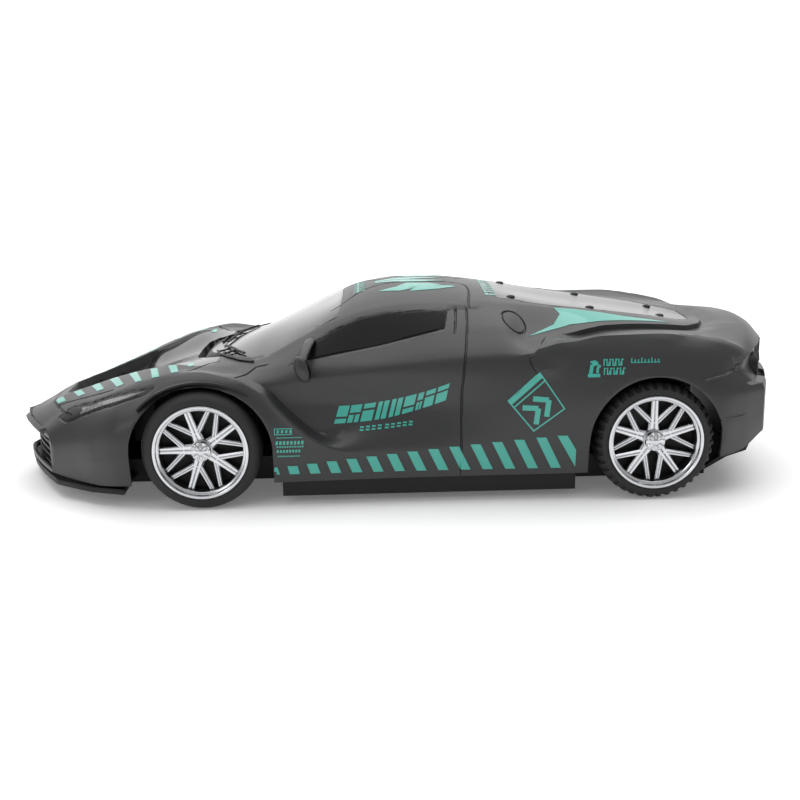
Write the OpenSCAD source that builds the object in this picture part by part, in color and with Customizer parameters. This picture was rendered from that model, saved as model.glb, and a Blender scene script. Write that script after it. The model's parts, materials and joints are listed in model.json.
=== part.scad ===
// Remote-controlled drift car, about 1:16, with a bodyshell over a tub chassis,
// rear-wheel drive through a two-stage gearbox and servo-arm front steering.
// Axes: nose towards -X, +Y to the car's right when it drives forward, +Z up.
// The origin is on the ground, midway along the length and the width.

/* [Stance] */
// Distance of the front axle ahead of the middle of the car
front_axle_dx = 70; // [69:0.5:71]
// Distance of the rear axle behind the middle of the car
rear_axle_dx = 94; // [93.5:0.5:94.5]
// Outer radius of every tyre
tyre_r = 21.7; // [21.4:0.1:21.8]
// Distance from the centre plane to the outer face of a front tyre
front_face_y = 60; // [59.5:0.1:60.4]
// Distance from the centre plane to the outer face of a rear tyre
rear_face_y = 60.6; // [60:0.1:61]
// Width of a front tyre
front_tyre_w = 14; // [13:0.5:14]
// Width of a rear tyre
rear_tyre_w = 16; // [15:0.5:16]

/* [Wheels] */
// Radius of the rim's visible lip
rim_r = 17.3; // [17:0.1:17.6]
// Depth of the spoke face behind the lip
dish = 3.8; // [3:0.2:4.4]
// Number of spoke clusters on a wheel
spokes = 5; // [5:1:7]
// Number of tread lugs on a rear tyre
lugs = 40; // [30:2:48]

/* [Bodyshell] */
// Wall thickness of the shell at the sides and the roof
wall = 1.8; // [1.6:0.1:2]
// Gap round each panel that is set into the shell
panel_gap = 0.15; // [0.1:0.05:0.25]
// Half length of the front wheel arch
front_arch_a = 25.8; // [25.5:0.1:26.4]
// Height of the front wheel arch above the axle
front_arch_b = 22.9; // [22.6:0.1:23.2]
// Radius of the rear wheel arch
rear_arch_r = 24.2; // [23.8:0.1:24.6]

/* [Steering] */
// Distance from the centre plane to a king pin
king_y = 42; // [41.5:0.1:42.2]
// Length of a steering arm, from king pin to tie-rod pin
arm_l = 10; // [9.5:0.5:10]
// Radius of a king pin
king_pin_r = 1.2; // [1:0.1:1.3]
// Radius of a stub axle
stub_r = 1.5; // [1.4:0.1:1.6]

/* [Drive] */
// Gear module, pitch diameter per tooth
gear_m = 0.6; // [0.6:0.1:0.6]
// Teeth of the gear on the rear axle
axle_teeth = 36; // [36:1:36]
// Teeth of the small half of the compound gear
small_teeth = 12; // [12:1:12]
// Teeth of the large half of the compound gear
large_teeth = 36; // [36:1:36]
// Teeth of the motor pinion
pinion_teeth = 10; // [10:1:10]
// Radius of the rear axle
axle_r = 1.5; // [1.4:0.1:1.5]
// Radius of the motor can
motor_r = 10; // [9:0.5:10]

/* [Chassis] */
// Height of the chassis floor above the ground
floor_z = 3; // [2.8:0.1:3.2]
// Thickness of the chassis floor
floor_t = 2; // [1.8:0.1:2.2]
// Travel of the power switch
switch_travel = 3; // [2:0.5:3]
// Length of the battery pack
battery_l = 52; // [48:1:52]
// Width of the battery pack
battery_w = 31; // [28:1:31]

/* [Hidden] */
$fn = 48;
EPS = 0.01;

// Colours
SHELL = [0.16, 0.165, 0.17];
GLASS = [0.08, 0.085, 0.09];
BLACK = [0.05, 0.05, 0.055];
CHROME = [0.78, 0.79, 0.8];
STEEL = [0.62, 0.63, 0.65];
NYLON = [0.86, 0.86, 0.83];

// ---------------------------------------------------------------- guide curves
// Each guide is a line along one side of the body, bottom to top. A knot holds
// [station along the centre line, half width, height].
BOTTOM = [[-147, 37, 9], [-135, 44, 8], [-120, 51, 8], [-100, 57, 9], [-70, 58.5, 9],
    [-40, 58.3, 9.5], [0, 58, 10], [68, 59, 10.5], [94, 60, 11], [112, 59.5, 12.5],
    [120, 58.5, 15], [134, 54, 16.5], [147, 48, 22]];
SILL = [[-147, 39, 14], [-135, 46, 15], [-120, 54, 17], [-100, 59.5, 19], [-70, 60.5, 20],
    [-40, 60.5, 19], [0, 60, 20], [40, 60.5, 22], [68, 61.5, 24], [94, 62.3, 25],
    [118, 61, 26], [134, 56, 27], [147, 50, 27]];
FLANK = [[-147, 39.5, 19], [-135, 45.5, 22], [-120, 52, 26], [-100, 57.5, 32],
    [-70, 59.5, 36], [-40, 59, 34], [0, 58, 35], [40, 60, 37], [68, 61.5, 40],
    [94, 62, 41], [118, 60.5, 40], [134, 56, 39], [147, 50, 38]];
SHOULDER = [[-147, 37, 23], [-135, 39, 28.5], [-120, 38, 34.5], [-105, 39, 40],
    [-92, 42.5, 44.6], [-80, 47, 48], [-70, 50.5, 49.2], [-60, 53, 47.6], [-48, 55, 44.5],
    [-30, 54.5, 47], [0, 55.5, 50.5], [25, 57, 53], [46, 57.5, 54.5], [60, 56.5, 57.3],
    [75, 54.5, 59.7], [94, 53.5, 59.8], [110, 52.5, 58], [125, 51, 55.5],
    [138, 49.5, 52], [147, 47, 47.5]];
BELT = [[-147, 25, 23.5], [-135, 26, 30.5], [-120, 28, 36], [-105, 31, 41],
    [-92, 35, 45.5], [-80, 40, 48.6], [-70, 44, 48.5], [-60, 46, 47.6], [-48, 47, 49],
    [-30, 49, 52.4], [-6, 49, 56.2], [18, 47, 61.5], [38, 47, 62.5], [50, 46, 58],
    [62, 45, 57.6], [80, 44, 59.3], [94, 43.5, 59], [112, 43, 57.2], [125, 42, 55.6],
    [138, 41, 53.5], [147, 38, 49]];
RAIL = [[-147, 12, 24], [-135, 12, 31.5], [-120, 13, 36.6], [-105, 20, 41.8],
    [-92, 29, 46], [-80, 35, 49], [-70, 38, 48.8], [-60, 39.5, 49], [-49, 40, 51],
    [-34, 38, 58.2], [-20, 35.5, 65], [-8, 34, 68.6], [8, 33, 70.4], [25, 33, 70],
    [40, 31, 68.8], [60, 27, 66], [80, 24, 63.6], [100, 22, 60.8], [116, 21, 58.2],
    [125, 21, 57.8], [138, 20, 57], [147, 18, 50]];
CREST = [[-147, 0, 24.2], [-141, 0, 27.6], [-129, 0, 33.2], [-116, 0, 37.2],
    [-100, 0, 40.6], [-85, 0, 44.4], [-68, 0, 48.6], [-48, 0, 56.2], [-28, 0, 64.6],
    [-20, 0, 68.2], [-15, 0, 71], [-8, 0, 72.9], [4, 0, 74.2], [17, 0, 74.2],
    [30, 0, 72.9], [42, 0, 70.4], [58, 0, 66.8], [80, 0, 63.4], [100, 0, 60.2],
    [119, 0, 57.2], [125, 0, 58.3], [137, 0, 58.2], [143, 0, 55.5], [147, 0, 51]];
GUIDES = [BOTTOM, SILL, FLANK, SHOULDER, BELT, RAIL, CREST];
// How sharply the section turns at each guide, 0 smooth to 1 a corner
SHARPNESS = [0, 0.6, 0, 0.35, 0.3, 0.5, 0];
// Line where the front wing steps down onto the door, as [x, z]
DOOR_CREASE = [[-62, 52], [-56, 47.5], [-52, 44.8], [-47, 42], [-41.7, 36.7],
    [-35.6, 30.9], [-29.4, 26], [-23.2, 23], [-17, 21.6], [0, 20.5], [60, 20]];

nose_x = -147;
tail_x = 147;
body_half = 60;
nose_sweep = 19;      // how far the nose's corners lie behind its middle
nose_from = -92;      // station where the nose starts to sweep
nose_len = 55;
tail_sweep = 7;       // how far the tail's corners lie ahead of its middle
tail_from = 110;
tail_len = 37;
sweep_at = 40;        // half width at which the two sweeps are measured
tail_rake = 0.4;      // extra sweep of the tail above the bumper
tail_rake_z = 38;
door_depth = 5.5;     // how far the door lies inside the front wing

function ramp(t) = let (u = min(max(t, 0), 1)) u * u * (3 - 2 * u);
function hermite(a, va, b, vb, t) =
    (2 * pow(t, 3) - 3 * pow(t, 2) + 1) * a + (pow(t, 3) - 2 * pow(t, 2) + t) * va
    + (3 * pow(t, 2) - 2 * pow(t, 3)) * b + (pow(t, 3) - pow(t, 2)) * vb;

// Value c of a guide at station s, with no overshoot between knots
function rise(g, c, k) = (g[k + 1][c] - g[k][c]) / (g[k + 1][0] - g[k][0]);
function knot_rise(g, c, k) =
    k == 0 ? rise(g, c, 0) :
    k == len(g) - 1 ? rise(g, c, k - 1) :
    let (a = rise(g, c, k - 1), b = rise(g, c, k)) a * b <= 0 ? 0 : 2 * a * b / (a + b);
function knot_before(g, s, k = 0) =
    (k >= len(g) - 2 || s < g[k + 1][0]) ? k : knot_before(g, s, k + 1);
function along(g, c, s) =
    let (k = knot_before(g, s), h = g[k + 1][0] - g[k][0],
        t = min(max((s - g[k][0]) / h, 0), 1))
    hermite(g[k][c], h * knot_rise(g, c, k), g[k + 1][c], h * knot_rise(g, c, k + 1), t);

// Half section at station s: points from the bottom edge up to the centre line
function section(s, steps) =
    let (p = concat([for (g = GUIDES) [along(g, 1, s), along(g, 2, s)]],
            [[-along(RAIL, 1, s), along(RAIL, 2, s)]]),
        h = [for (i = [0:6]) max(norm(p[i + 1] - p[i]), 0.001)],
        chord = [for (i = [0:6]) (p[i + 1] - p[i]) / h[i]],
        flow = [for (i = [0:6]) i == 0 ? chord[0]
            : (chord[i - 1] * h[i] + chord[i] * h[i - 1]) / (h[i - 1] + h[i])])
    [for (i = [0:5]) for (k = [0:steps[i] - (i == 5 ? 0 : 1)])
        let (a = flow[i] * (1 - SHARPNESS[i]) + chord[i] * SHARPNESS[i],
            b = flow[i + 1] * (1 - SHARPNESS[i + 1]) + chord[i] * SHARPNESS[i + 1])
        hermite(p[i], h[i] * a, p[i + 1], h[i] * b, k / steps[i])];

// Depth of the door hollow at a point of the side. The step begins lead above the
// crease and is soft wide.
function door_hollow(x, z, lead, soft) =
    let (e = 0.5, line = along(DOOR_CREASE, 1, x),
        fall = along(DOOR_CREASE, 1, x + e) - along(DOOR_CREASE, 1, x - e),
        above = (z - line) / sqrt(1 + fall * fall))
    x < -62 || z > 60 ? 0
    : door_depth * (1 - ramp((x + 25) / 70)) * ramp((above - lead) / soft)
        * (1 - ramp((z - 36) / 16));

// Where a section point stands once the nose and tail are swept round in plan
function swept_x(s, y, z) =
    s + nose_sweep * pow(min(max((nose_from - s) / nose_len, 0), 1), 1.5)
        * pow(abs(y) / sweep_at, 1.6)
    - tail_sweep * pow(min(max((s - tail_from) / tail_len, 0), 1), 1.5)
        * pow(y / sweep_at, 2) * (1 + tail_rake * ramp((z - tail_rake_z) / 8));
function skin_point(s, y, z, t) =
    let (x = swept_x(s, y, z), v = y - (t < 1.5 ? door_hollow(x, z, 0, 4) : door_hollow(x, z, -12, 10)))
    [x, v, z];

// A closed ring round the body at station s, moved in by t and squeezed to a
// share of its width, which closes the nose and the tail
function ring(s, steps, t = 0, share = 1, base = undef) =
    let (half = [for (q = section(s, steps))
            skin_point(s, q[0] * (1 - t / body_half) * share, q[1] - t, t)],
        first = is_undef(base) ? [] : [[half[0][0], half[0][1], base]],
        full = concat(first, half), n = len(full))
    concat(full, [for (i = [n - 2:-1:0]) [full[i][0], -full[i][1], full[i][2]]]);

// Skin a row of equal rings into a solid, its two ends closed by strips
module skin(rings) {
    n = len(rings[0]);
    m = len(rings);
    points = [for (r = rings) for (q = r) q];
    sides = [for (i = [0:m - 2]) for (j = [0:n - 1])
        let (a = i * n + j, b = i * n + (j + 1) % n)
        for (f = [[a, b + n, b], [a, a + n, b + n]]) f];
    half = floor(n / 2);
    caps = [for (e = [0, (m - 1) * n]) for (j = [0:half - 1])
        let (a = e + j, b = e + j + 1, c = e + n - 2 - j, d = e + n - 1 - j)
        for (f = j == half - 1 ? [[a, d, b]] : [[a, d, c], [a, c, b]])
        e == 0 ? [f[0], f[2], f[1]] : f];
    polyhedron(points, concat(sides, caps), convexity = 6);
}
CAP_SHARES = [0.03, 0.3, 0.6, 0.85];
module body_solid(t, steps, pitch, base = undef) {
    first = nose_x + t * 1.2;
    last = tail_x - t * 1.2;
    stations = [for (i = [0:round((last - first) / pitch)])
        first + (last - first) * i / round((last - first) / pitch)];
    skin(concat([for (k = CAP_SHARES) ring(first, steps, t, k, base)],
        [for (s = stations) ring(s, steps, t, 1, base)],
        [for (i = [3:-1:0]) ring(last, steps, t, CAP_SHARES[i], base)]));
}
OUTER_STEPS = [2, 3, 4, 3, 3, 3];
INNER_STEPS = [1, 2, 3, 2, 2, 3];
module outer_body() body_solid(0, OUTER_STEPS, 6.4);
module inner_body(t) body_solid(t, INNER_STEPS, 12, -5);
// A slice of the outer skin, t thick, for the panels set into it
module skin_slice(t) difference() {
    outer_body();
    body_solid(t, OUTER_STEPS, 6.4, -5);
}

// ---------------------------------------------------------------- panel outlines
// Plan outlines of the near half, mirrored for the other; side outlines in x, z
WINDSCREEN = [[-67, 0], [-65.5, 13], [-61, 26], [-53, 36], [-47.5, 38.4], [-33, 36.6],
    [-19.5, 33.4], [-19, 16], [-18.8, 0]];
ENGINE_COVER = [[37, 0], [37.5, 18], [40, 24], [60, 23.5], [80, 21], [100, 18],
    [113, 15], [118, 10], [119, 0]];
SIDE_WINDOW = [[-38, 50.5], [-32, 56], [-22, 61.8], [-12, 65.6], [-2, 67.4], [10, 67.9],
    [20.4, 67.8], [18.8, 62.4], [6, 59.6], [-6, 57], [-20, 54.4], [-31, 52.4]];
HEADLIGHT = [[-127, 29], [-122, 32.6], [-114, 35.2], [-106, 38.4], [-96, 41.8],
    [-86, 44.2], [-90, 41.4], [-98, 38.6], [-106, 35.6], [-115, 31.8], [-122, 28.6]];
function mirrored(half) =
    concat(half, [for (i = [len(half) - 1:-1:0]) if (half[i][1] > 0) [half[i][0], -half[i][1]]]);
// Prisms of an outline, grown by g on every side with square corners
module plan_prism(half, g, z0, z1)
    translate([0, 0, z0]) linear_extrude(z1 - z0) offset(delta = g) polygon(mirrored(half));
module side_prism(outline, g, y0, y1)
    translate([0, y1, 0]) rotate([90, 0, 0]) linear_extrude(y1 - y0)
        offset(delta = g) polygon(outline);

// ---------------------------------------------------------------- shared shapes
axle_z = tyre_r;
front_x = -front_axle_dx;
rear_x = rear_axle_dx;
// A cylinder along Y, from y0 to y1, about an axis through x and z
module rod_y(x, z, r, y0, y1)
    translate([x, y1, z]) rotate([90, 0, 0]) cylinder(h = y1 - y0, r = r);
// A profile of [radius, distance outwards] turned about a wheel's axle on side s
module turned(x, s, profile)
    translate([x, 0, axle_z]) mirror([0, s < 0 ? 1 : 0, 0]) rotate([-90, 0, 0])
        rotate_extrude($fn = 96) polygon(profile);
// Screw standing along +Z with a domed head on top
module screw_up(r, l, head_r) {
    cylinder(h = l, r = r);
    translate([0, 0, l]) cylinder(h = 0.9, r = head_r);
}
// A cord along a list of points: 8 sides, each ring square to the local path
function unit(v) = v / norm(v);
function cord_ring(path, i, r) =
    let (n = len(path), d = unit(path[min(i + 1, n - 1)] - path[max(i - 1, 0)]),
        a = unit(cross(d, [0.1, 0.2, 1])), b = cross(d, a))
    [for (k = [0:7]) path[i] + r * (a * cos(45 * k) + b * sin(45 * k))];
module cord(path, r) {
    n = len(path);
    polyhedron([for (i = [0:n - 1]) for (q = cord_ring(path, i, r)) q],
        concat([[for (k = [7:-1:0]) k]], [[for (k = [0:7]) (n - 1) * 8 + k]],
            [for (i = [0:n - 2]) for (k = [0:7])
                [i * 8 + k, i * 8 + (k + 1) % 8, (i + 1) * 8 + (k + 1) % 8, (i + 1) * 8 + k]]));
}

// ---------------------------------------------------------------- bodyshell
module front_arch_cut(s) {
    scale([front_arch_a, 1, front_arch_b])
        translate([front_x / front_arch_a, s > 0 ? 70 : -36, axle_z / front_arch_b])
            rotate([90, 0, 0]) cylinder(h = 34, r = 1, $fn = 64);
    translate([front_x - front_arch_a, s > 0 ? 36 : -70, -10])
        cube([2 * front_arch_a, 34, axle_z + 10]);
}
module rear_arch_cut(s) {
    translate([rear_x, s > 0 ? 70 : -36, axle_z]) rotate([90, 0, 0])
        cylinder(h = 34, r = rear_arch_r, $fn = 64);
    translate([rear_x - rear_arch_r, s > 0 ? 36 : -70, -10])
        cube([2 * rear_arch_r, 34, axle_z + 10]);
}
grille_half = 33;
grille_z0 = 10.5;
grille_z1 = 21;
lamp_y = 33;
lamp_z = 43;
lamp_r = 6;
module body_shell() color(SHELL) resize([0, 0, 0]) difference() {
    outer_body();
    inner_body(wall);
    for (s = [-1, 1]) {
        front_arch_cut(s);
        rear_arch_cut(s);
        mirror([0, s < 0 ? 1 : 0, 0]) {
            side_prism(SIDE_WINDOW, 0, 25, 70);
            side_prism(HEADLIGHT, 0, 30, 70);
        }
        translate([110, s * lamp_y, lamp_z]) rotate([0, 90, 0]) cylinder(h = 60, r = lamp_r);
    }
    plan_prism(WINDSCREEN, 0, 40, 90);
    plan_prism(ENGINE_COVER, 0, 45, 90);
    translate([-160, -grille_half, grille_z0]) cube([40, 2 * grille_half, grille_z1 - grille_z0]);
    translate([125, -36, 10]) cube([40, 72, 16]);
}
// Posts under the shell that take the chassis screws
POSTS = [[-108, 24, 34.5], [-18, 42.5, 46], [52, 42, 52], [112, 30, 50.5]];
module body_posts() color(SHELL) for (p = POSTS) for (s = [-1, 1])
    translate([p[0], s * p[1], floor_z + floor_t + EPS]) difference() {
        cylinder(h = p[2] - floor_z - floor_t, r = 2.6);
        translate([0, 0, -1]) cylinder(h = 9, r = 0.9);
    }
module windscreen() color(GLASS) resize([0, 0, 0]) intersection() {
    skin_slice(1.4);
    plan_prism(WINDSCREEN, -panel_gap, 40, 90);
}
module side_window(s) color(GLASS) resize([0, 0, 0]) intersection() {
    skin_slice(1.4);
    mirror([0, s < 0 ? 1 : 0, 0]) side_prism(SIDE_WINDOW, -panel_gap, 25, 70);
}
module side_window_left() side_window(-1);
module side_window_right() side_window(1);
module engine_cover() color([0.2, 0.2, 0.21]) resize([0, 0, 0]) intersection() {
    skin_slice(1.4);
    difference() {
        plan_prism(ENGINE_COVER, -panel_gap, 45, 90);
        for (p = COVER_SCREWS) for (s = [-1, 1])
            translate([p[0], s * p[1], 45]) cylinder(h = 40, r = 1.85);
    }
}
COVER_SCREWS = [[46, 19, 69.1], [77, 17, 63.4], [106, 11, 59.3]];
module engine_cover_screws() color(BLACK) for (p = COVER_SCREWS) for (s = [-1, 1])
    translate([p[0], s * p[1], p[2] - 3]) {
        cylinder(h = 4, r = 1.1);
        translate([0, 0, 3.7]) cylinder(h = 0.9, r = 1.7);
    }
module headlight(s) color([0.3, 0.31, 0.32]) resize([0, 0, 0]) intersection() {
    skin_slice(1.2);
    mirror([0, s < 0 ? 1 : 0, 0]) side_prism(HEADLIGHT, -panel_gap, 30, 70);
}
module headlight_left() headlight(-1);
module headlight_right() headlight(1);
// A small board with two lamps behind each headlight
module headlight_boards() color("darkgreen") for (s = [-1, 1]) {
    translate([-112, s * 37.5 - 3, 26]) cube([14, 6, 1.2]);
    for (dx = [3, 10])
        translate([-112 + dx, s * 37.5, 27.2]) {
            cylinder(h = 2, r = 1.5);
            translate([0, 0, 2]) sphere(r = 1.5, $fn = 24);
        }
}
// Round lamps let into the tail
module tail_lamps() color([0.5, 0.04, 0.04]) for (s = [-1, 1])
    translate([131, s * lamp_y, lamp_z]) rotate([0, 90, 0]) difference() {
        cylinder(h = 7.5, r = lamp_r - panel_gap);
        translate([0, 0, 6]) cylinder(h = 3, r = lamp_r - 1.4);
    }
// Outline across the nose, set back by d from the skin, for the grille and lip
function nose_arc(d, half, steps = 12) = [for (i = [0:steps])
    let (y = -half + 2 * half * i / steps)
    [nose_x + d + nose_sweep * pow(abs(y) / sweep_at, 1.6), y]];
function reversed(list) = [for (i = [len(list) - 1:-1:0]) list[i]];
module front_grille() color(BLACK) difference() {
    translate([0, 0, grille_z0 - 1.5]) linear_extrude(grille_z1 - grille_z0 + 3)
        polygon(concat(nose_arc(3.2, grille_half + 1), reversed(nose_arc(5, grille_half + 1))));
    for (z = [grille_z0 + 1:2.6:grille_z1 - 2]) for (y = [-30:6:24])
        translate([-150, y + 0.6, z]) cube([40, 4.8, 1.5]);
}
module front_splitter() color(BLACK) {
    translate([0, 0, 5]) linear_extrude(2.2) polygon(concat(
        nose_arc(0.6, 41, 14), [[-112, 51], [-99, 55.5], [-99, 33.3], [-116.3, 33.3]],
        [[-116.3, -33.3], [-99, -33.3], [-99, -55.5], [-112, -51]]));
    translate([0, 0, 7]) linear_extrude(1.95)
        polygon(concat(nose_arc(0.2, 15), reversed(nose_arc(4, 15))));
}
// Sloping tray under the tail with upright fins
module rear_diffuser() color(BLACK) {
    translate([0, 39, 0]) rotate([90, 0, 0]) linear_extrude(78)
        polygon([[118.2, 4], [131, 11.5], [132.5, 25.8], [130.8, 25.8], [129.4, 12.6], [118.2, 6]]);
    for (y = [-30:12:30]) translate([0, y + 0.8, 0]) rotate([90, 0, 0]) linear_extrude(1.6)
        polygon([[121, 5], [137, 9], [139, 17], [132, 20], [130.5, 11]]);
}
module exhaust_tips() color(CHROME) for (s = [-1, 1])
    translate([132.7, s * 12, 19.4]) rotate([0, 90, 0]) difference() {
        cylinder(h = 12, r = 3.4);
        translate([0, 0, 2]) cylinder(h = 12, r = 2.7);
    }
module mirror_pod(s) color(SHELL) {
    hull() for (q = [[-34.5, 57.5, 55.5, 2.4], [-30.5, 58.3, 55, 3], [-31.5, 59.3, 51.6, 2.2]])
        translate([q[0], s * q[1], q[2]]) sphere(r = q[3], $fn = 24);
    hull() for (q = [[-31.5, 57.5, 51, 1.2], [-32, 53.6, 49.4, 1.2]])
        translate([q[0], s * q[1], q[2]]) sphere(r = q[3], $fn = 16);
}
module mirror_left() mirror_pod(-1);
module mirror_right() mirror_pod(1);

// ---------------------------------------------------------------- chassis
well_f1 = -41.5;
well_r0 = 66;
tub_x0 = -116;
tub_x1 = 118;
tub_front_y = 33;
tub_mid_y = 54.5;
tub_rear_y = 40;
// Half outline of the tub, drawn in by d on every side
function tub_half(d) = [[tub_x0 + d, 0], [tub_x0 + d, tub_front_y - d],
    [well_f1 + d, tub_front_y - d], [well_f1 + d, tub_mid_y - d], [well_r0 - d, tub_mid_y - d],
    [well_r0 - d, tub_rear_y - d], [tub_x1 - d, tub_rear_y - d], [tub_x1 - d, 0]];
tub_h = 9;
door_x0 = -30;
door_l = 64;
door_screw_x = door_x0 + 61;
door_w = 32.6;
switch_x = 40;
switch_y = -20;
trim_x = -35.5;
dial_r = 3.9;
bush_r = 3.4;
carrier_y0 = 33.5;
carrier_y1 = 37;
PLATE_SCREWS = [-13, 17];     // stations of the top plate's screws, from the front axle
module lower_arm(s) {
    translate([front_x - 3.2, s > 0 ? 30 : -king_y, floor_z])
        cube([6.4, king_y - 30, floor_t + 1]);
    translate([front_x, s * king_y, floor_z]) cylinder(h = 11.4, r = 3.2);
}
module chassis_tub() color(BLACK) difference() {
    union() {
        difference() {
            translate([0, 0, floor_z]) linear_extrude(tub_h) polygon(mirrored(tub_half(0)));
            translate([0, 0, floor_z + floor_t]) linear_extrude(tub_h)
                polygon(mirrored(tub_half(1.6)));
        }
        translate([door_x0 + door_l - 5.8, -5, floor_z + floor_t + 0.05]) cube([9.8, 10, 3]);
        translate([door_x0 + door_l, -5, floor_z + 1]) cube([4, 10, 3]);
        for (s = [-1, 1]) {
            lower_arm(s);
            translate([rear_x - 6, s > 0 ? carrier_y0 : -carrier_y1, floor_z])
                cube([12, carrier_y1 - carrier_y0, axle_z + 5 - floor_z]);
            for (dx = PLATE_SCREWS)
                translate([front_x + dx, s * 27, floor_z]) cylinder(h = 27.8, r = 3);
        }
    }
    translate([door_x0, -door_w / 2, floor_z - 1]) cube([door_l, door_w, floor_t + 2]);
    translate([switch_x - 4, switch_y - 2.2, floor_z - 1]) cube([8, 4.4, floor_t + 2]);
    translate([trim_x, 0, floor_z - 1]) cylinder(h = floor_t + 2, r = dial_r);
    translate([door_screw_x, 0, floor_z + floor_t]) cylinder(h = 5, r = 0.8);
    for (s = [-1, 1]) {
        rod_y(rear_x, axle_z, bush_r, s > 0 ? 30 : -40, s > 0 ? 40 : -30);
        translate([front_x, s * king_y, floor_z - 1]) cylinder(h = 14, r = king_pin_r);
        for (p = POSTS) translate([p[0], s * p[1], floor_z - 1]) {
            cylinder(h = 4, r = 1.2);
            cylinder(h = 1.9, r = 2.3);
        }
        for (dx = PLATE_SCREWS)
            translate([front_x + dx, s * 27, floor_z + 18]) cylinder(h = 12, r = 0.8);
    }
}
module chassis_screws() color(STEEL) for (s = [-1, 1]) {
    for (p = POSTS) translate([p[0], s * p[1], floor_z]) {
        translate([0, 0, 0.5]) cylinder(h = 8.5, r = 0.8);
        translate([0, 0, 0.05]) cylinder(h = 0.85, r = 2.2);
    }
    for (dx = PLATE_SCREWS) translate([front_x + dx, s * 27, 24]) screw_up(0.75, 9, 2);
}

// ---------------------------------------------------------------- steering
plate_z = floor_z + 27.8;
module front_top_plate() color(BLACK) difference() {
    translate([0, 0, plate_z]) linear_extrude(2.2) polygon([
        [front_x - 17, -31], [front_x - 3.2, -31], [front_x - 3.2, -king_y - 3],
        [front_x + 3.2, -king_y - 3], [front_x + 3.2, -31], [front_x + 21, -31],
        [front_x + 21, -22], [front_x + 6, -16], [front_x + 6, 16], [front_x + 21, 22],
        [front_x + 21, 31], [front_x + 3.2, 31], [front_x + 3.2, king_y + 3],
        [front_x - 3.2, king_y + 3], [front_x - 3.2, 31], [front_x - 17, 31]]);
    for (s = [-1, 1]) {
        translate([front_x, s * king_y, plate_z - 1]) cylinder(h = 5, r = king_pin_r);
        for (dx = PLATE_SCREWS)
            translate([front_x + dx, s * 27, plate_z - 1]) cylinder(h = 5, r = 1);
    }
}
module king_pins() color(STEEL) for (s = [-1, 1]) translate([front_x, s * king_y, 5])
    cylinder(h = plate_z + 3 - 5, r = king_pin_r);
knuckle_z0 = 14.6;
knuckle_z1 = 30.2;
arm_z = 25.4;
stub_l = 57.4;
hub_y = 46.6;
// Upright with its stub axle and its steering arm, which points to the rear
module knuckle(s) color(BLACK) difference() {
    union() {
        translate([front_x, s * king_y, knuckle_z0]) cylinder(h = knuckle_z1 - knuckle_z0, r = 3.3);
        rod_y(front_x, axle_z, stub_r, s > 0 ? king_y : -stub_l, s > 0 ? stub_l : -king_y);
        rod_y(front_x, axle_z, 3, s > 0 ? king_y : -hub_y + 0.3, s > 0 ? hub_y - 0.3 : -king_y);
        translate([front_x, s * king_y - 2, arm_z]) cube([arm_l, 4, 2]);
        translate([front_x + arm_l, s * king_y, arm_z]) cylinder(h = 2, r = 2);
        translate([front_x + arm_l, s * king_y, arm_z]) cylinder(h = 5, r = 1.1);
    }
    translate([front_x, s * king_y, 10]) cylinder(h = 30, r = king_pin_r + 0.06);
    rod_y(front_x, axle_z, 0.9, s > 0 ? stub_l - 8 : -stub_l - 1, s > 0 ? stub_l + 1 : -stub_l + 8);
}
module knuckle_left() knuckle(-1);
module knuckle_right() knuckle(1);
// Rod with a slot for each knuckle's pin and an upright pin in its middle
rod_z = arm_z + 2.3;
module tie_rod() color(NYLON) difference() {
    union() {
        translate([front_x + arm_l - 2, -king_y, rod_z]) cube([4, 2 * king_y, 2]);
        for (s = [-1, 1])
            translate([front_x + arm_l - 3, s * king_y - 2.6, rod_z]) cube([6, 5.2, 2]);
        translate([front_x + arm_l, 0, rod_z]) cylinder(h = 6.8, r = 1.2);
    }
    for (s = [-1, 1]) {
        translate([front_x + arm_l - 0.8, s * king_y - 1.4, rod_z - 1]) cube([1.1, 2.8, 4]);
        for (dx = [-0.8, 0.3])
            translate([front_x + arm_l + dx, s * king_y, rod_z - 1]) cylinder(h = 4, r = 1.4);
    }
}
servo_x = front_x + arm_l + 8;
servo_arm_z = rod_z + 3.2;
module servo_case() color([0.12, 0.14, 0.2]) {
    translate([servo_x - 5, -6, 10]) cube([22, 12, 19.5]);
    translate([servo_x - 4, -9, 24]) cube([20, 18, 1.6]);
    translate([servo_x, 0, 29.5]) cylinder(h = 1, r = 4);
    for (s = [-1, 1]) translate([servo_x + 6, s * 7.5 - 1.2, floor_z + floor_t]) cube([4, 2.4, 19]);
    translate([servo_x + 2, -4, floor_z + floor_t]) cube([9, 8, 5]);
}
module servo_arm() color("white") difference() {
    union() {
        translate([servo_x, 0, servo_arm_z]) cylinder(h = 2.4, r = 3);
        translate([servo_x - 10.4, -2.5, servo_arm_z]) cube([10.4, 5, 2]);
    }
    translate([servo_x - 9, -1.45, servo_arm_z - 1]) cube([2.2, 2.9, 4]);
    for (dx = [-9, -6.8])
        translate([servo_x + dx, 0, servo_arm_z - 1]) cylinder(h = 4, r = 1.45);
}
// Slotted dial, flush with the floor, that sets the straight-ahead trim
module trim_dial() color([0.3, 0.3, 0.32]) difference() {
    union() {
        translate([trim_x, 0, floor_z + 0.05]) cylinder(h = floor_t, r = dial_r - 0.08);
        translate([trim_x, 0, floor_z + floor_t + 0.05]) cylinder(h = 0.8, r = dial_r + 1);
    }
    translate([trim_x - 2.8, -0.5, floor_z - 1]) cube([5.6, 1, 1.7]);
}

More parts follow.
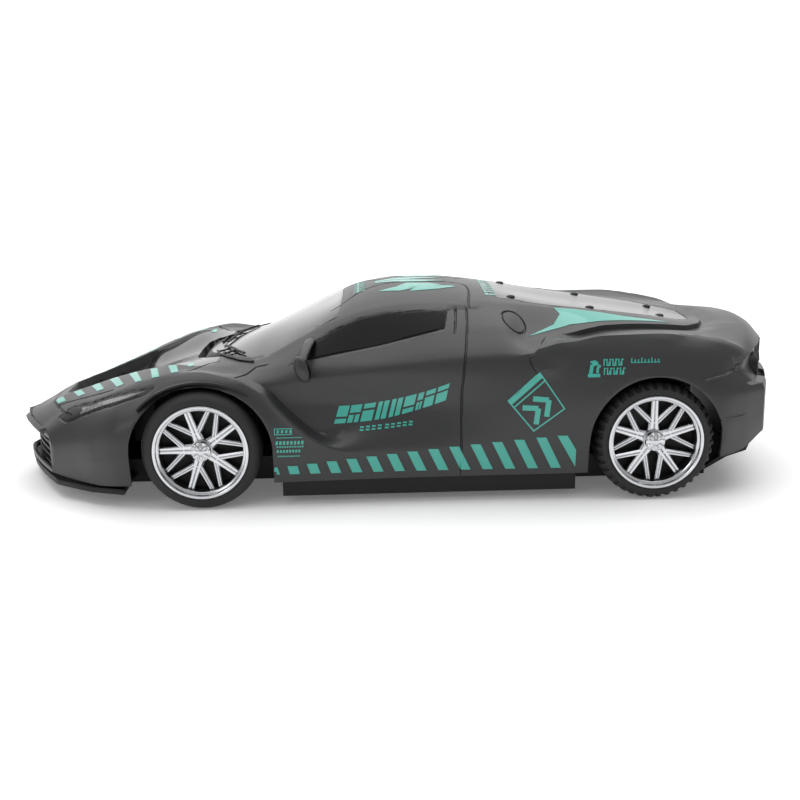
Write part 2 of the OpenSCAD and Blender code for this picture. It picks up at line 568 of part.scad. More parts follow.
// ---------------------------------------------------------------- wheels
// Tyre profile [r, y] from inner face yi to outer face yo with rounded shoulders
function tyre_profile(yi, yo, bore) = concat([[bore, yi + 0.8], [bore + 1.2, yi]],
    [for (a = [0:22.5:90]) [tyre_r - 2.6 + 2.6 * sin(a), yi + 2.6 - 2.6 * cos(a)]],
    [for (a = [90:-22.5:0]) [tyre_r - 2.6 + 2.6 * sin(a), yo - 2.6 + 2.6 * cos(a)]],
    [[bore + 1.2, yo], [bore, yo - 0.8]]);
seat_r = rim_r - 0.5;
module front_tyre(s) color(BLACK)
    turned(front_x, s, tyre_profile(front_face_y - front_tyre_w, front_face_y, seat_r));
module front_tyre_left() front_tyre(-1);
module front_tyre_right() front_tyre(1);
// Rear tyres: the tread is cut by a slot between each pair of lugs
module rear_tyre(s) difference() {
    turned(rear_x, s, tyre_profile(rear_face_y - rear_tyre_w, rear_face_y, seat_r));
    for (i = [0:lugs - 1]) translate([rear_x, 0, axle_z]) rotate([0, i * 360 / lugs, 0])
        translate([-0.6, s * (rear_face_y - 1.5) - 2, tyre_r - 1.4]) cube([1.2, 4, 3]);
}
module rear_tyres() color(BLACK) for (s = [-1, 1]) rear_tyre(s);
// Rim barrel with its lip, from inner face yi to outer face yo
module rim_barrel(x, s, yi, yo) turned(x, s, [[seat_r - 1.2, yi + 0.9], [seat_r, yi + 0.9],
    [seat_r, yo - 0.45], [rim_r, yo - 0.45], [rim_r, yo + 0.3], [rim_r - 0.6, yo + 0.3],
    [rim_r - 1.6, yo - 1.2], [seat_r - 1.2, yo - 2.4]]);
split_r = 6.2;
blade_turn = 47;
hub_r = 3.6;
boss_r = 4.8;
// One cluster in plan: an arm from the hub that fans out into three blades
module spoke_fan(h) {
    translate([2.6, -1.3, 0]) cube([seat_r - 3.2, 2.6, h]);
    for (k = [-1, 1]) translate([split_r, 0, 0]) rotate(k * blade_turn)
        translate([0, -0.8, 0.1]) cube([11.4, 1.6, h - 0.2]);
}
// Clusters of spokes between y0 and y1 on side s, the first one at angle turn
module spoke_ring(x, s, y0, y1, turn) translate([x, s > 0 ? y1 : -y0, axle_z])
    rotate([90, 0, 0]) for (i = [0:spokes - 1])
        rotate(turn + i * 360 / spokes) spoke_fan(y1 - y0);
// Hub with its bore, from its inner end yi to the spoke face yo
module rim_hub(x, s, bore, yi, yo) turned(x, s, [[bore, yi], [hub_r, yi], [hub_r, yo - 2.2],
    [boss_r, yo - 2.2], [boss_r, yo + 0.2], [bore, yo + 0.2]]);
module front_rim(s) color(CHROME) difference() {
    union() {
        rim_barrel(front_x, s, front_face_y - front_tyre_w, front_face_y);
        spoke_ring(front_x, s, front_face_y - dish - 1.8, front_face_y - dish, s < 0 ? 36 : 144);
        rim_hub(front_x, s, stub_r + 0.06, hub_y, front_face_y - dish);
    }
    rod_y(front_x, axle_z, stub_r + 0.06, s > 0 ? 40 : -70, s > 0 ? 70 : -40);
}
module front_rim_left() front_rim(-1);
module front_rim_right() front_rim(1);
// Hollow cap that covers the end of an axle
module hub_cap(x, s, y) turned(x, s, [[2.9, y], [3.7, y], [3.7, y + 2.1], [3.1, y + 2.9],
    [0, y + 3.1], [0, y + 2.3], [2.9, y + 2.3]]);
cap_y = front_face_y - dish + 0.2;
module front_cap_left() color(CHROME) hub_cap(front_x, -1, cap_y);
module front_cap_right() color(CHROME) hub_cap(front_x, 1, cap_y);
module wheel_screw(s) color(STEEL) {
    rod_y(front_x, axle_z, 0.8, s > 0 ? stub_l - 6 : -stub_l, s > 0 ? stub_l : -stub_l + 6);
    rod_y(front_x, axle_z, 2.4, s > 0 ? stub_l : -stub_l - 0.7, s > 0 ? stub_l + 0.7 : -stub_l);
}
module wheel_screw_left() wheel_screw(-1);
module wheel_screw_right() wheel_screw(1);
rear_hub_y = 42;
module rear_rim(s) difference() {
    union() {
        rim_barrel(rear_x, s, rear_face_y - rear_tyre_w, rear_face_y);
        spoke_ring(rear_x, s, rear_face_y - dish - 1.8, rear_face_y - dish, s < 0 ? 18 : 162);
        rim_hub(rear_x, s, axle_r, rear_hub_y, rear_face_y - dish);
    }
    rod_y(rear_x, axle_z, axle_r, s > 0 ? 30 : -70, s > 0 ? 70 : -30);
}
module rear_rims() color(CHROME) for (s = [-1, 1]) rear_rim(s);
module rear_caps() color(CHROME) for (s = [-1, 1]) hub_cap(rear_x, s, rear_face_y - dish + 0.2);

// ---------------------------------------------------------------- drive
// Involute gear blank: tooth i is centred on angle phase + 360 i / n
backlash = 0.05;
function involute(rb, r) = let (t = sqrt(max(pow(r / rb, 2) - 1, 0))) t * 180 / PI - atan(t);
function gear_outline(n, phase) =
    let (rp = gear_m * n / 2, rb = rp * cos(20), ra = rp + gear_m * 0.95,
        rf = rp - gear_m * 1.2, low = max(rb, rf + 0.05),
        half = 90 / n + involute(rb, rp) - backlash / rp * 90 / PI)
    [for (i = [0:n - 1]) let (c = phase + i * 360 / n)
        for (q = concat([[rf, -half - 0.6]],
            [for (r = [low, (low + rp) / 2, rp, (rp + ra) / 2, ra]) [r, -(half - involute(rb, r))]],
            [for (r = [ra, (rp + ra) / 2, rp, (low + rp) / 2, low]) [r, half - involute(rb, r)]],
            [[rf, half + 0.6]]))
        [q[0] * cos(c + q[1]), q[0] * sin(c + q[1])]];
// A gear about Y, from y0 to y1, with a bore
module gear(x, z, n, phase, y0, y1, bore)
    translate([x, y1, z]) rotate([90, 0, 0]) linear_extrude(y1 - y0) difference() {
        polygon(gear_outline(n, phase));
        circle(r = bore);
    }
compound_tilt = 10;
axle_mesh = gear_m * (axle_teeth + small_teeth) / 2 + 0.06;
pinion_mesh = gear_m * (large_teeth + pinion_teeth) / 2 + 0.06;
compound_x = rear_x - axle_mesh * cos(compound_tilt);
compound_z = axle_z + axle_mesh * sin(compound_tilt);
pinion_tilt = -6;
motor_x = compound_x - pinion_mesh * cos(pinion_tilt);
motor_z = compound_z + pinion_mesh * sin(pinion_tilt);
to_compound = 180 - compound_tilt;    // direction from the axle to the compound gear
to_pinion = 180 - pinion_tilt;        // direction from the compound gear to the pinion
shaft_r = 1;
module axle_gear() color(NYLON) difference() {
    union() {
        gear(rear_x, axle_z, axle_teeth, to_compound, 2, 6, axle_r);
        rod_y(rear_x, axle_z, 2.6, 6, 12);
    }
    rod_y(rear_x, axle_z, axle_r, 0, 14);
}
module compound_gear() color(NYLON) {
    gear(compound_x, compound_z, small_teeth, to_compound + 180 + 180 / small_teeth,
        1.8, 6.8, shaft_r + 0.06);
    gear(compound_x, compound_z, large_teeth, to_pinion, 6.8, 9.8, shaft_r + 0.06);
}
module compound_shaft() color(STEEL)
    rod_y(compound_x, compound_z, shaft_r, -0.4, 15.4);
module motor_pinion() color([0.75, 0.6, 0.25])
    gear(motor_x, motor_z, pinion_teeth, to_pinion + 180 + 180 / pinion_teeth, 6.4, 10.4, shaft_r);
module motor_shaft() color(STEEL) rod_y(motor_x, motor_z, shaft_r, -29, 11);
module motor_can() color(STEEL) difference() {
    union() {
        rod_y(motor_x, motor_z, motor_r, -26, -1.2);
        rod_y(motor_x, motor_z, 3, -1.2, 0.6);
        rod_y(motor_x, motor_z, 3, -27.6, -26);
    }
    rod_y(motor_x, motor_z, shaft_r + 0.06, -30, 2);
}
case_x0 = motor_x - 7;
case_x1 = rear_x + 13.4;
case_z0 = floor_z + floor_t;
case_z1 = 37.5;
module gearbox_case() color(BLACK) difference() {
    translate([case_x0, -0.9, case_z0]) cube([case_x1 - case_x0, 14.9, case_z1 - case_z0]);
    translate([case_x0 + 1.4, 0.9, case_z0 + 1.4])
        cube([case_x1 - case_x0 - 2.8, 20, case_z1 - case_z0 - 2.8]);
    rod_y(rear_x, axle_z, 2.4, -5, 5);
    rod_y(compound_x, compound_z, shaft_r, -5, 5);
    rod_y(motor_x, motor_z, 3, -5, 5);
    for (x = [case_x0 + 3, case_x1 - 3]) for (z = [case_z0 + 3, case_z1 - 3])
        rod_y(x, z, 0.8, -5, 0.5);
}
module gearbox_cover() color([0.09, 0.09, 0.1]) difference() {
    translate([case_x0, 14, case_z0]) cube([case_x1 - case_x0, 1.6, case_z1 - case_z0]);
    rod_y(rear_x, axle_z, 2.4, 10, 20);
    rod_y(compound_x, compound_z, shaft_r, 10, 20);
    for (x = [case_x0 + 3, case_x1 - 3]) for (z = [case_z0 + 3, case_z1 - 3])
        rod_y(x, z, 0.9, 10, 20);
}
module gearbox_screws() color(STEEL)
    for (x = [case_x0 + 3, case_x1 - 3]) for (z = [case_z0 + 3, case_z1 - 3]) {
        rod_y(x, z, 0.75, 9, 15.6);
        rod_y(x, z, 1.7, 15.6, 16.5);
    }
module rear_axle() color(STEEL) rod_y(rear_x, axle_z, axle_r, -57.6, 57.6);
module rear_bushes() color([0.7, 0.55, 0.3]) for (s = [-1, 1]) difference() {
    union() {
        rod_y(rear_x, axle_z, bush_r, s > 0 ? carrier_y0 : -carrier_y1,
            s > 0 ? carrier_y1 : -carrier_y0);
        rod_y(rear_x, axle_z, 4.4, s > 0 ? carrier_y1 : -carrier_y1 - 1,
            s > 0 ? carrier_y1 + 1 : -carrier_y1);
    }
    rod_y(rear_x, axle_z, axle_r + 0.05, s > 0 ? 30 : -42, s > 0 ? 42 : -30);
}

// ---------------------------------------------------------------- electrics
battery_z = floor_z + floor_t + 0.6;
module circuit_board() color("darkgreen") {
    translate([-26, -21, 25]) cube([46, 42, 1.4]);
    translate([-20, -11, 26.4]) cube([9, 9, 1.6]);
    translate([-2, 2, 26.4]) cube([7, 10, 2.2]);
    for (y = [-10, -4]) translate([10, y, 26.4]) cylinder(h = 6, r = 2.2);
    for (x = [-23, 17]) for (y = [-18.4, 18.4])
        translate([x, y, floor_z + floor_t]) cylinder(h = 20, r = 1.8);
}
module battery_pack() color([0.1, 0.25, 0.55]) {
    for (s = [-1, 1]) for (end = [0, 1])
        translate([-battery_l / 2 + end * battery_l / 2 + 0.4, s * battery_w / 4, battery_z + 7.2])
            rotate([0, 90, 0]) cylinder(h = battery_l / 2 - 0.8, r = 7);
    translate([-battery_l / 2, -battery_w / 2 + 1, battery_z + 6]) cube([battery_l, battery_w - 2, 2.4]);
}
module battery_door() color([0.07, 0.07, 0.075]) {
    difference() {
        translate([door_x0 + 0.2, -door_w / 2 + 0.2, floor_z])
            cube([door_l - 0.4, door_w - 0.4, floor_t]);
        translate([door_screw_x, 0, floor_z - 1]) cylinder(h = 4, r = 0.9);
        translate([door_screw_x, 0, floor_z - 1]) cylinder(h = 1.9, r = 2.1);
    }
    for (y = [-10, 10]) translate([door_x0 - 2.5, y - 3, floor_z + floor_t + 0.1]) cube([5, 6, 1]);
    for (y = [-10, 10]) translate([door_x0 + 0.5, y - 3, floor_z + floor_t]) cube([2, 6, 1.1]);
}
module battery_door_screw() color(STEEL) translate([door_screw_x, 0, floor_z]) {
    translate([0, 0, 0.05]) cylinder(h = 0.85, r = 2);
    translate([0, 0, 0.5]) cylinder(h = 4, r = 0.75);
}
module switch_housing() color(BLACK) difference() {
    translate([switch_x - 7, switch_y - 4, floor_z + floor_t + EPS]) cube([14, 8, 6]);
    translate([switch_x - 4, switch_y - 2.2, floor_z]) cube([8, 4.4, 4]);
}
module switch_knob() color([0.75, 0.75, 0.72]) {
    translate([switch_x - 3.6, switch_y - 2, floor_z + 0.2]) cube([3.4, 4, 3.5]);
    translate([switch_x - 3, switch_y - 1.4, floor_z + 0.1]) cube([2.2, 2.8, 0.3]);
}
MOTOR_WIRE = [[66, -28.2, 26], [64, -31, 27], [58, -32, 28], [48, -31, 28], [38, -28, 28],
    [30, -24, 28.5], [24, -18, 29], [18, -13, 28.6], [14, -12, 27.4]];
module motor_wires() for (i = [0, 1]) color(i == 0 ? "red" : "black")
    cord([for (q = MOTOR_WIRE) q + [0, i * -2.4, i * -0.2]], 0.7);
BATTERY_LEAD = [[-26.4, 4, 13], [-30, 5, 14], [-32.4, 6, 18], [-32, 7, 24], [-29, 8, 28],
    [-24, 8, 28.6], [-18, 8, 27.4]];
module battery_leads() for (i = [0, 1]) color(i == 0 ? "red" : "black")
    cord([for (q = BATTERY_LEAD) q + [0, i * 2.4, 0]], 0.7);

body_shell();
body_posts();
windscreen();
side_window_left();
side_window_right();
engine_cover();
engine_cover_screws();
headlight_left();
headlight_right();
headlight_boards();
tail_lamps();
front_grille();
front_splitter();
rear_diffuser();
exhaust_tips();
mirror_left();
mirror_right();
chassis_tub();
chassis_screws();
front_top_plate();
king_pins();
knuckle_left();
knuckle_right();
tie_rod();
servo_case();
servo_arm();
trim_dial();
front_tyre_left();
front_tyre_right();
front_rim_left();
front_rim_right();
front_cap_left();
front_cap_right();
wheel_screw_left();
wheel_screw_right();
gearbox_case();
gearbox_cover();
gearbox_screws();
motor_can();
motor_shaft();
motor_pinion();
compound_gear();
compound_shaft();
axle_gear();
rear_axle();
rear_bushes();
rear_tyres();
rear_rims();
rear_caps();
circuit_board();
battery_pack();
battery_door();
battery_door_screw();
switch_housing();
switch_knob();
motor_wires();
battery_leads();
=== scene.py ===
import json
from math import copysign, cos, hypot, pi, radians, sin, tau
import bmesh
import bpy
import numpy as np
from mathutils import Matrix, Vector
from mathutils.bvhtree import BVHTree


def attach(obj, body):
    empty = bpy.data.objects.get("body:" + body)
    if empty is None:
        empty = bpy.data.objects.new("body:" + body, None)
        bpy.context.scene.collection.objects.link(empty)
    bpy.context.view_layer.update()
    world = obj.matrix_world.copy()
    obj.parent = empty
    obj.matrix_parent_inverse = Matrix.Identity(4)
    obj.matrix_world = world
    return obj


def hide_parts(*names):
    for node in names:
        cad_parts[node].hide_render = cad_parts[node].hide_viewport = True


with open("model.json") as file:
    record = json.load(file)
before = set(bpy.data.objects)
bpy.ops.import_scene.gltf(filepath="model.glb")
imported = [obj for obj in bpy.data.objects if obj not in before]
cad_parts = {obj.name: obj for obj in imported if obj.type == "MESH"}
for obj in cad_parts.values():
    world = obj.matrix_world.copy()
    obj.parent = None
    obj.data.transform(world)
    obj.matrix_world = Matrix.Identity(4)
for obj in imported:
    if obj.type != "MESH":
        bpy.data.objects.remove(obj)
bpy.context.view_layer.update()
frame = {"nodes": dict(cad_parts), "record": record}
MM = 0.001
# driving dimensions in mm: x runs back, the car's left side is at negative y
NOSE_X, TAIL_X = -147.0, 147.0
FRONT_X, REAR_X, AXLE_Z = -70.0, 94.0, 21.7
TYRE_R = AXLE_Z
FRONT_ARCH_REACH, FRONT_ARCH_RISE = 25.8, 22.9
REAR_ARCH_R = 24.2
SKIN_WALL, PANEL_WALL, LENS_WALL = 1.5, 1.2, 1.0
HOLLOW_DEPTH = 5.5
NOSE_SWEEP, TAIL_SWEEP, SWEEP_WIDTH = 19, 7, 40
LAMP_Y, LAMP_Z, LAMP_BASE_X = 33, 43, 130.2
EXHAUST_Y, EXHAUST_Z, EXHAUST_X = 12, 19.4, 132.7
MIRROR_X, MIRROR_Y, MIRROR_Z = -32.6, 58.0, 51.1
SIDES = ((-1, "left"), (1, "right"))

# ---- guide curves
# Knots of [station, half width, height] for each line along the body, in mm
BOTTOM = [[-147, 37, 9], [-135, 44, 8], [-120, 51, 8], [-100, 57, 9], [-70, 58.5, 9],
          [-40, 58.3, 9.5], [0, 58, 10], [68, 59, 10.5], [94, 60, 11], [112, 59.5, 12.5],
          [120, 58.5, 15], [134, 54, 16.5], [147, 48, 22]]
SILL = [[-147, 39, 14], [-135, 46, 15], [-120, 54, 17], [-100, 59.5, 19], [-70, 60.5, 20],
        [-40, 60.5, 19], [0, 60, 20], [40, 60.5, 22], [68, 61.5, 24], [94, 62.3, 25],
        [118, 61, 26], [134, 56, 27], [147, 50, 27]]
FLANK = [[-147, 39.5, 19], [-135, 45.5, 22], [-120, 52, 26], [-100, 57.5, 32],
         [-70, 59.5, 36], [-40, 59, 34], [0, 58, 35], [40, 60, 37], [68, 61.5, 40],
         [94, 62, 41], [118, 60.5, 40], [134, 56, 39], [147, 50, 38]]
SHOULDER = [[-147, 37, 23], [-135, 39, 28.5], [-120, 38, 34.5], [-105, 39, 40],
            [-92, 42.5, 44.6], [-80, 47, 48], [-70, 50.5, 49.2], [-60, 53, 47.6],
            [-48, 55, 44.5], [-30, 54.5, 47], [0, 55.5, 50.5], [25, 57, 53],
            [46, 57.5, 54.5], [60, 56.5, 57.3], [75, 54.5, 59.7], [94, 53.5, 59.8],
            [110, 52.5, 58], [125, 51, 55.5], [138, 49.5, 52], [147, 47, 47.5]]
BELT = [[-147, 25, 23.5], [-135, 26, 30.5], [-120, 28, 36], [-105, 31, 41],
        [-92, 35, 45.5], [-80, 40, 48.6], [-70, 44, 48.5], [-60, 46, 47.6], [-48, 47, 49],
        [-30, 49, 52.4], [-6, 49, 56.2], [18, 47, 61.5], [38, 47, 62.5], [50, 46, 58],
        [62, 45, 57.6], [80, 44, 59.3], [94, 43.5, 59], [112, 43, 57.2], [125, 42, 55.6],
        [138, 41, 53.5], [147, 38, 49]]
RAIL = [[-147, 12, 24], [-135, 12, 31.5], [-120, 13, 36.6], [-105, 20, 41.8],
        [-92, 29, 46], [-80, 35, 49], [-70, 38, 48.8], [-60, 39.5, 49], [-49, 40, 51],
        [-34, 38, 58.2], [-20, 35.5, 65], [-8, 34, 68.6], [8, 33, 70.4], [25, 33, 70],
        [40, 31, 68.8], [60, 27, 66], [80, 24, 63.6], [100, 22, 60.8], [116, 21, 58.2],
        [125, 21, 57.8], [138, 20, 57], [147, 18, 50]]
CREST = [[-147, 0, 24.2], [-141, 0, 27.6], [-129, 0, 33.2], [-116, 0, 37.2],
         [-100, 0, 40.6], [-85, 0, 44.4], [-68, 0, 48.6], [-48, 0, 56.2], [-28, 0, 64.6],
         [-20, 0, 68.2], [-15, 0, 71], [-8, 0, 72.9], [4, 0, 74.2], [17, 0, 74.2],
         [30, 0, 72.9], [42, 0, 70.4], [58, 0, 66.8], [80, 0, 63.4], [100, 0, 60.2],
         [119, 0, 57.2], [125, 0, 58.3], [137, 0, 58.2], [143, 0, 55.5], [147, 0, 51]]
GUIDES = [np.array(g, float) for g in (BOTTOM, SILL, FLANK, SHOULDER, BELT, RAIL, CREST)]
SHARPNESS = [0, 0.6, 0, 0.35, 0.3, 0.5, 0]
# Line where the front wing steps down onto the door, as [x, z]
DOOR_CREASE = np.array([[-62, 52], [-56, 47.5], [-52, 44.8], [-47, 42], [-41.7, 36.7],
                        [-35.6, 30.9], [-29.4, 26], [-23.2, 23], [-17, 21.6], [0, 20.5],
                        [60, 20]], float)


def ramp(t):
    """Smooth step from 0 at t = 0 to 1 at t = 1."""
    t = np.clip(t, 0, 1)
    return t * t * (3 - 2 * t)


def hermite(a, va, b, vb, t):
    """Cubic from a to b that leaves along va and arrives along vb."""
    t2, t3 = t * t, t * t * t
    return ((2 * t3 - 3 * t2 + 1) * a + (t3 - 2 * t2 + t) * va
            + (3 * t2 - 2 * t3) * b + (t3 - t2) * vb)


def along(knots, values, s):
    """Value at s of a curve through the knots that never overshoots them."""
    h = np.diff(knots)
    d = np.diff(values) / h
    m = np.zeros(len(knots))
    m[0], m[-1] = d[0], d[-1]
    for k in range(1, len(knots) - 1):
        m[k] = 0 if d[k - 1] * d[k] <= 0 else 2 * d[k - 1] * d[k] / (d[k - 1] + d[k])
    k = np.clip(np.searchsorted(knots, s, side="right") - 1, 0, len(h) - 1)
    t = np.clip((s - knots[k]) / h[k], 0, 1)
    return hermite(values[k], h[k] * m[k], values[k + 1], h[k] * m[k + 1], t)


def above_crease(x, z):
    """How far a point of the side stands above the line under the front wing."""
    kx, kz = DOOR_CREASE[:, 0], DOOR_CREASE[:, 1]
    fall = along(kx, kz, x + 0.5) - along(kx, kz, x - 0.5)
    return (z - along(kx, kz, x)) / np.sqrt(1 + fall * fall)


def door_hollow(x, z):
    """How deep the door lies behind the front wing, fading out rearwards and upwards."""
    soft = 1.5 + 14 * ramp((x + 30) / 30)
    depth = (HOLLOW_DEPTH * (1 - ramp((x + 25) / 70)) * ramp(above_crease(x, z) / soft)
             * (1 - ramp((z - 36) / 16)))
    return np.where((x < -62) | (z > 60), 0, depth)


def nose_sweep(y):
    """How far the front lies behind the nose's tip at y."""
    return NOSE_SWEEP * (np.abs(y) / SWEEP_WIDTH) ** 1.35


def loft(s, v, c, side):
    """Points of the body in mm: station s, guide v from 0 to 6, share c of the width."""
    p = [np.stack([along(g[:, 0], g[:, 1], s), along(g[:, 0], g[:, 2], s)], 1) for g in GUIDES]
    p.append(p[5] * [-1, 1])
    h = [np.maximum(np.linalg.norm(p[i + 1] - p[i], axis=1, keepdims=True), 1e-3)
         for i in range(7)]
    chord = [(p[i + 1] - p[i]) / h[i] for i in range(7)]
    flow = [chord[0]] + [(chord[i - 1] * h[i] + chord[i] * h[i - 1]) / (h[i - 1] + h[i])
                         for i in range(1, 7)]
    k = np.minimum(v.astype(int), 5)
    t = (v - k)[:, None]
    out = np.zeros((len(s), 2))
    for i in range(6):
        m = k == i
        a = flow[i] * (1 - SHARPNESS[i]) + chord[i] * SHARPNESS[i]
        b = flow[i + 1] * (1 - SHARPNESS[i + 1]) + chord[i] * SHARPNESS[i + 1]
        out[m] = hermite(p[i][m], (h[i] * a)[m], p[i + 1][m], (h[i] * b)[m], t[m])
    y = out[:, 0] * c
    z = np.where(c < 1, np.minimum(out[:, 1], p[6][:, 1]), out[:, 1])
    x = (s + np.clip((-92 - s) / 55, 0, 1) ** 1.5 * nose_sweep(y)
         - TAIL_SWEEP * np.clip((s - 110) / 37, 0, 1) ** 1.5 * (y / SWEEP_WIDTH) ** 2
         * (1 + 0.65 * ramp((z - 38) / 8)))
    return np.stack([x, (y - door_hollow(x, z)) * side, z], 1)


# ---- distance fields
# A field gives each point's distance in mm from an edge, negative inside, or AWAY out of reach
AWAY = 99


def edge_distance(a, b, px, py):
    ab = b - a
    t = np.clip(((px - a[0]) * ab[0] + (py - a[1]) * ab[1]) / (ab @ ab), 0, 1)
    return np.hypot(px - a[0] - t * ab[0], py - a[1] - t * ab[1])


def polygon_distance(points, px, py):
    """Signed distance to a closed outline, negative inside."""
    pts = np.array(points, float)
    best = np.full(len(px), 1e9)
    inside = np.zeros(len(px), bool)
    for a, b in zip(pts, np.roll(pts, -1, axis=0)):
        best = np.minimum(best, edge_distance(a, b, px, py))
        if a[1] != b[1]:
            crossing = (a[1] > py) != (b[1] > py)
            inside ^= crossing & (px < (b[0] - a[0]) * (py - a[1]) / (b[1] - a[1]) + a[0])
    return np.where(inside, -best, best)


def line_distance(points, px, py):
    """Distance to an open line, positive on its left and negative on its right."""
    best = np.full(len(px), 1e9)
    sign = np.ones(len(px))
    pts = np.array(points, float)
    for a, b in zip(pts[:-1], pts[1:]):
        d = edge_distance(a, b, px, py)
        left = np.where((b - a)[0] * (py - a[1]) - (b - a)[1] * (px - a[0]) < 0, -1.0, 1.0)
        sign = np.where(d < best, left, sign)
        best = np.minimum(best, d)
    return best * sign


def mirrored(half):
    """A closed outline in plan from its half at positive y."""
    return list(half) + [(x, -y) for x, y in reversed(half) if y > 0]


def in_plan(half):
    full = mirrored(half)
    return lambda co: polygon_distance(full, co[:, 0], co[:, 1])


def of_points(shape):
    """A field made from a function of x, the distance y from the middle, and z."""
    return lambda co: shape(co[:, 0], np.abs(co[:, 1]), co[:, 2])


def in_side(outline, inner=30):
    return of_points(lambda x, y, z: np.where(y > inner, polygon_distance(outline, x, z), AWAY))


def plan_line(points):
    return of_points(lambda x, y, z: line_distance(points, x, y))


def side_line(points, inner=36):
    return of_points(lambda x, y, z: np.where(y > inner, line_distance(points, x, z), AWAY))


# Outlines in mm: in plan as [x, y] for one half, or from the side as [x, z]
WINDSCREEN = [(-67, 0), (-65.5, 13), (-61, 26), (-53, 36), (-47.5, 38.4), (-33, 36.6),
              (-19.5, 33.4), (-19, 16), (-18.8, 0)]
ENGINE_COVER = [(37, 0), (37.5, 18), (40, 24), (60, 23.5), (80, 21), (100, 18), (113, 15),
                (118, 10), (119, 0)]
SIDE_WINDOW = [(-38, 50.5), (-32, 56), (-22, 61.8), (-12, 65.6), (-2, 67.4), (10, 67.9),
               (20.4, 67.8), (18.8, 62.4), (6, 59.6), (-6, 57), (-20, 54.4), (-31, 52.4)]
HEADLIGHT = [(-127, 29), (-122, 32.6), (-114, 35.2), (-106, 38.4), (-96, 41.8), (-86, 44.2),
             (-90, 41.4), (-98, 38.6), (-106, 35.6), (-115, 31.8), (-122, 28.6)]
HOOD_EDGE = [(-129, 0), (-129, 9), (-127, 11.5), (-122.6, 12), (-114.6, 13.8), (-106.8, 16.2),
             (-98.3, 21.2), (-92, 26), (-86, 31), (-80, 35), (-75, 37.5), (-69, 37),
             (-66, 34), (-66, 0)]
OUTLET = [(-77.2, 0), (-76.8, 8), (-75.2, 15), (-71.5, 20), (-65, 24), (-64.2, 22.8),
          (-67.2, 14.5), (-70.5, 8.5), (-72.2, 0)]
PLAN_GROOVES = [
    [(-134, 0), (-133.5, 8), (-132.7, 15.1), (-130, 20.8), (-120.8, 25.4), (-109.3, 32.4),
     (-104.9, 34.7)],
    [(-130, 20.8), (-125.7, 29.4), (-120.6, 36.8)],
    [(-75.1, 46.1), (-68.8, 33.9), (-65.2, 31.7)],
    [(-57.1, 51.9), (-50.2, 44.2), (-45.9, 44.7)],
    [(-22.7, 24), (-16.2, 18.8), (-11, 12.5), (-5.1, 7.3), (1.5, 6.2), (11.3, 6.2),
     (21.7, 6.2), (27, 7), (29.5, 10), (29.8, 16), (29.3, 26), (28.2, 36)],
]
SIDE_GROOVES = [
    [(27.6, 68.5), (26.8, 61.9), (25.4, 53.8), (24, 42), (23.5, 12.6)],
    [(23.6, 68.8), (22.3, 61)],
    [(20.4, 68.1), (30, 68.3), (36.4, 67.6)],
]
TAIL_RIDGES = [[(111.2, 44.3), (120, 45.6), (129.4, 47.3)], [(116.5, 29.9), (127.2, 30)]]
INTAKE = [(57, 58.6), (53.4, 57.2), (50.2, 55.4), (48.2, 53.8), (47.9, 52.3), (49.2, 49.3),
          (51.5, 47)]
DECK = [(60, 42.5), (75, 37.6), (88, 34), (100, 31.2), (112, 27.4), (118.6, 21.5),
        (121.6, 13), (122.4, 0)]


@of_points
def front_arch(x, y, z):
    """An upright-sided opening with half an ellipse on top."""
    x, z = x - FRONT_X, z - AXLE_Z
    over = (np.hypot(x / FRONT_ARCH_REACH, z / FRONT_ARCH_RISE) - 1) * 23.5
    return np.where(y > 36, np.where(z > 0, over, np.abs(x) - FRONT_ARCH_REACH), AWAY)


@of_points
def rear_arch(x, y, z):
    """An upright-sided opening with a half circle on top."""
    x, z = x - REAR_X, z - AXLE_Z
    return np.where(y > 36, np.where(z > 0, np.hypot(x, z), np.abs(x)) - REAR_ARCH_R, AWAY)


@of_points
def lamp_hole(x, y, z):
    return np.where(x > 118, np.hypot(y - LAMP_Y, z - LAMP_Z) - 6, AWAY)


@of_points
def nose_opening(x, y, z):
    top = 22.9 - 1.2 * (y / 37) ** 2
    return np.where(x < -118, np.maximum(y - 37, np.maximum(10.5 - z, z - top)), AWAY)


@of_points
def tail_opening(x, y, z):
    return np.where(x > 120, np.maximum(y - 36, np.abs(z - 18) - 8), AWAY)


@of_points
def tail_recess(x, y, z):
    return np.where(x > 122, np.maximum(np.abs(y - 34) - 19.5, np.abs(z - 45.6) - 5.2), AWAY)


@of_points
def fuel_cap(x, y, z):
    """Distance from the fuel flap's oval edge."""
    return (np.hypot((x - 44.6) / 4.3, (y - 40) / 5.3) - 1) * 4.8


@of_points
def crease_field(x, y, z):
    near = (y > 40) & (x > -63) & (x < -8) & (z < 56)
    return np.where(near, above_crease(x, z), AWAY)


@of_points
def intake(x, y, z):
    """Distance behind the edge of the air intake that follows the door."""
    near = (y > 46) & (x > 44) & (x < 70) & (z < 60)
    return np.where(near, line_distance(INTAKE, x, z), AWAY)


@of_points
def deck(x, y, z):
    """Distance outside the edge of the raised engine deck."""
    return np.where((x > 58) & (x < 134) & (z > 50), line_distance(DECK, x, y), AWAY)


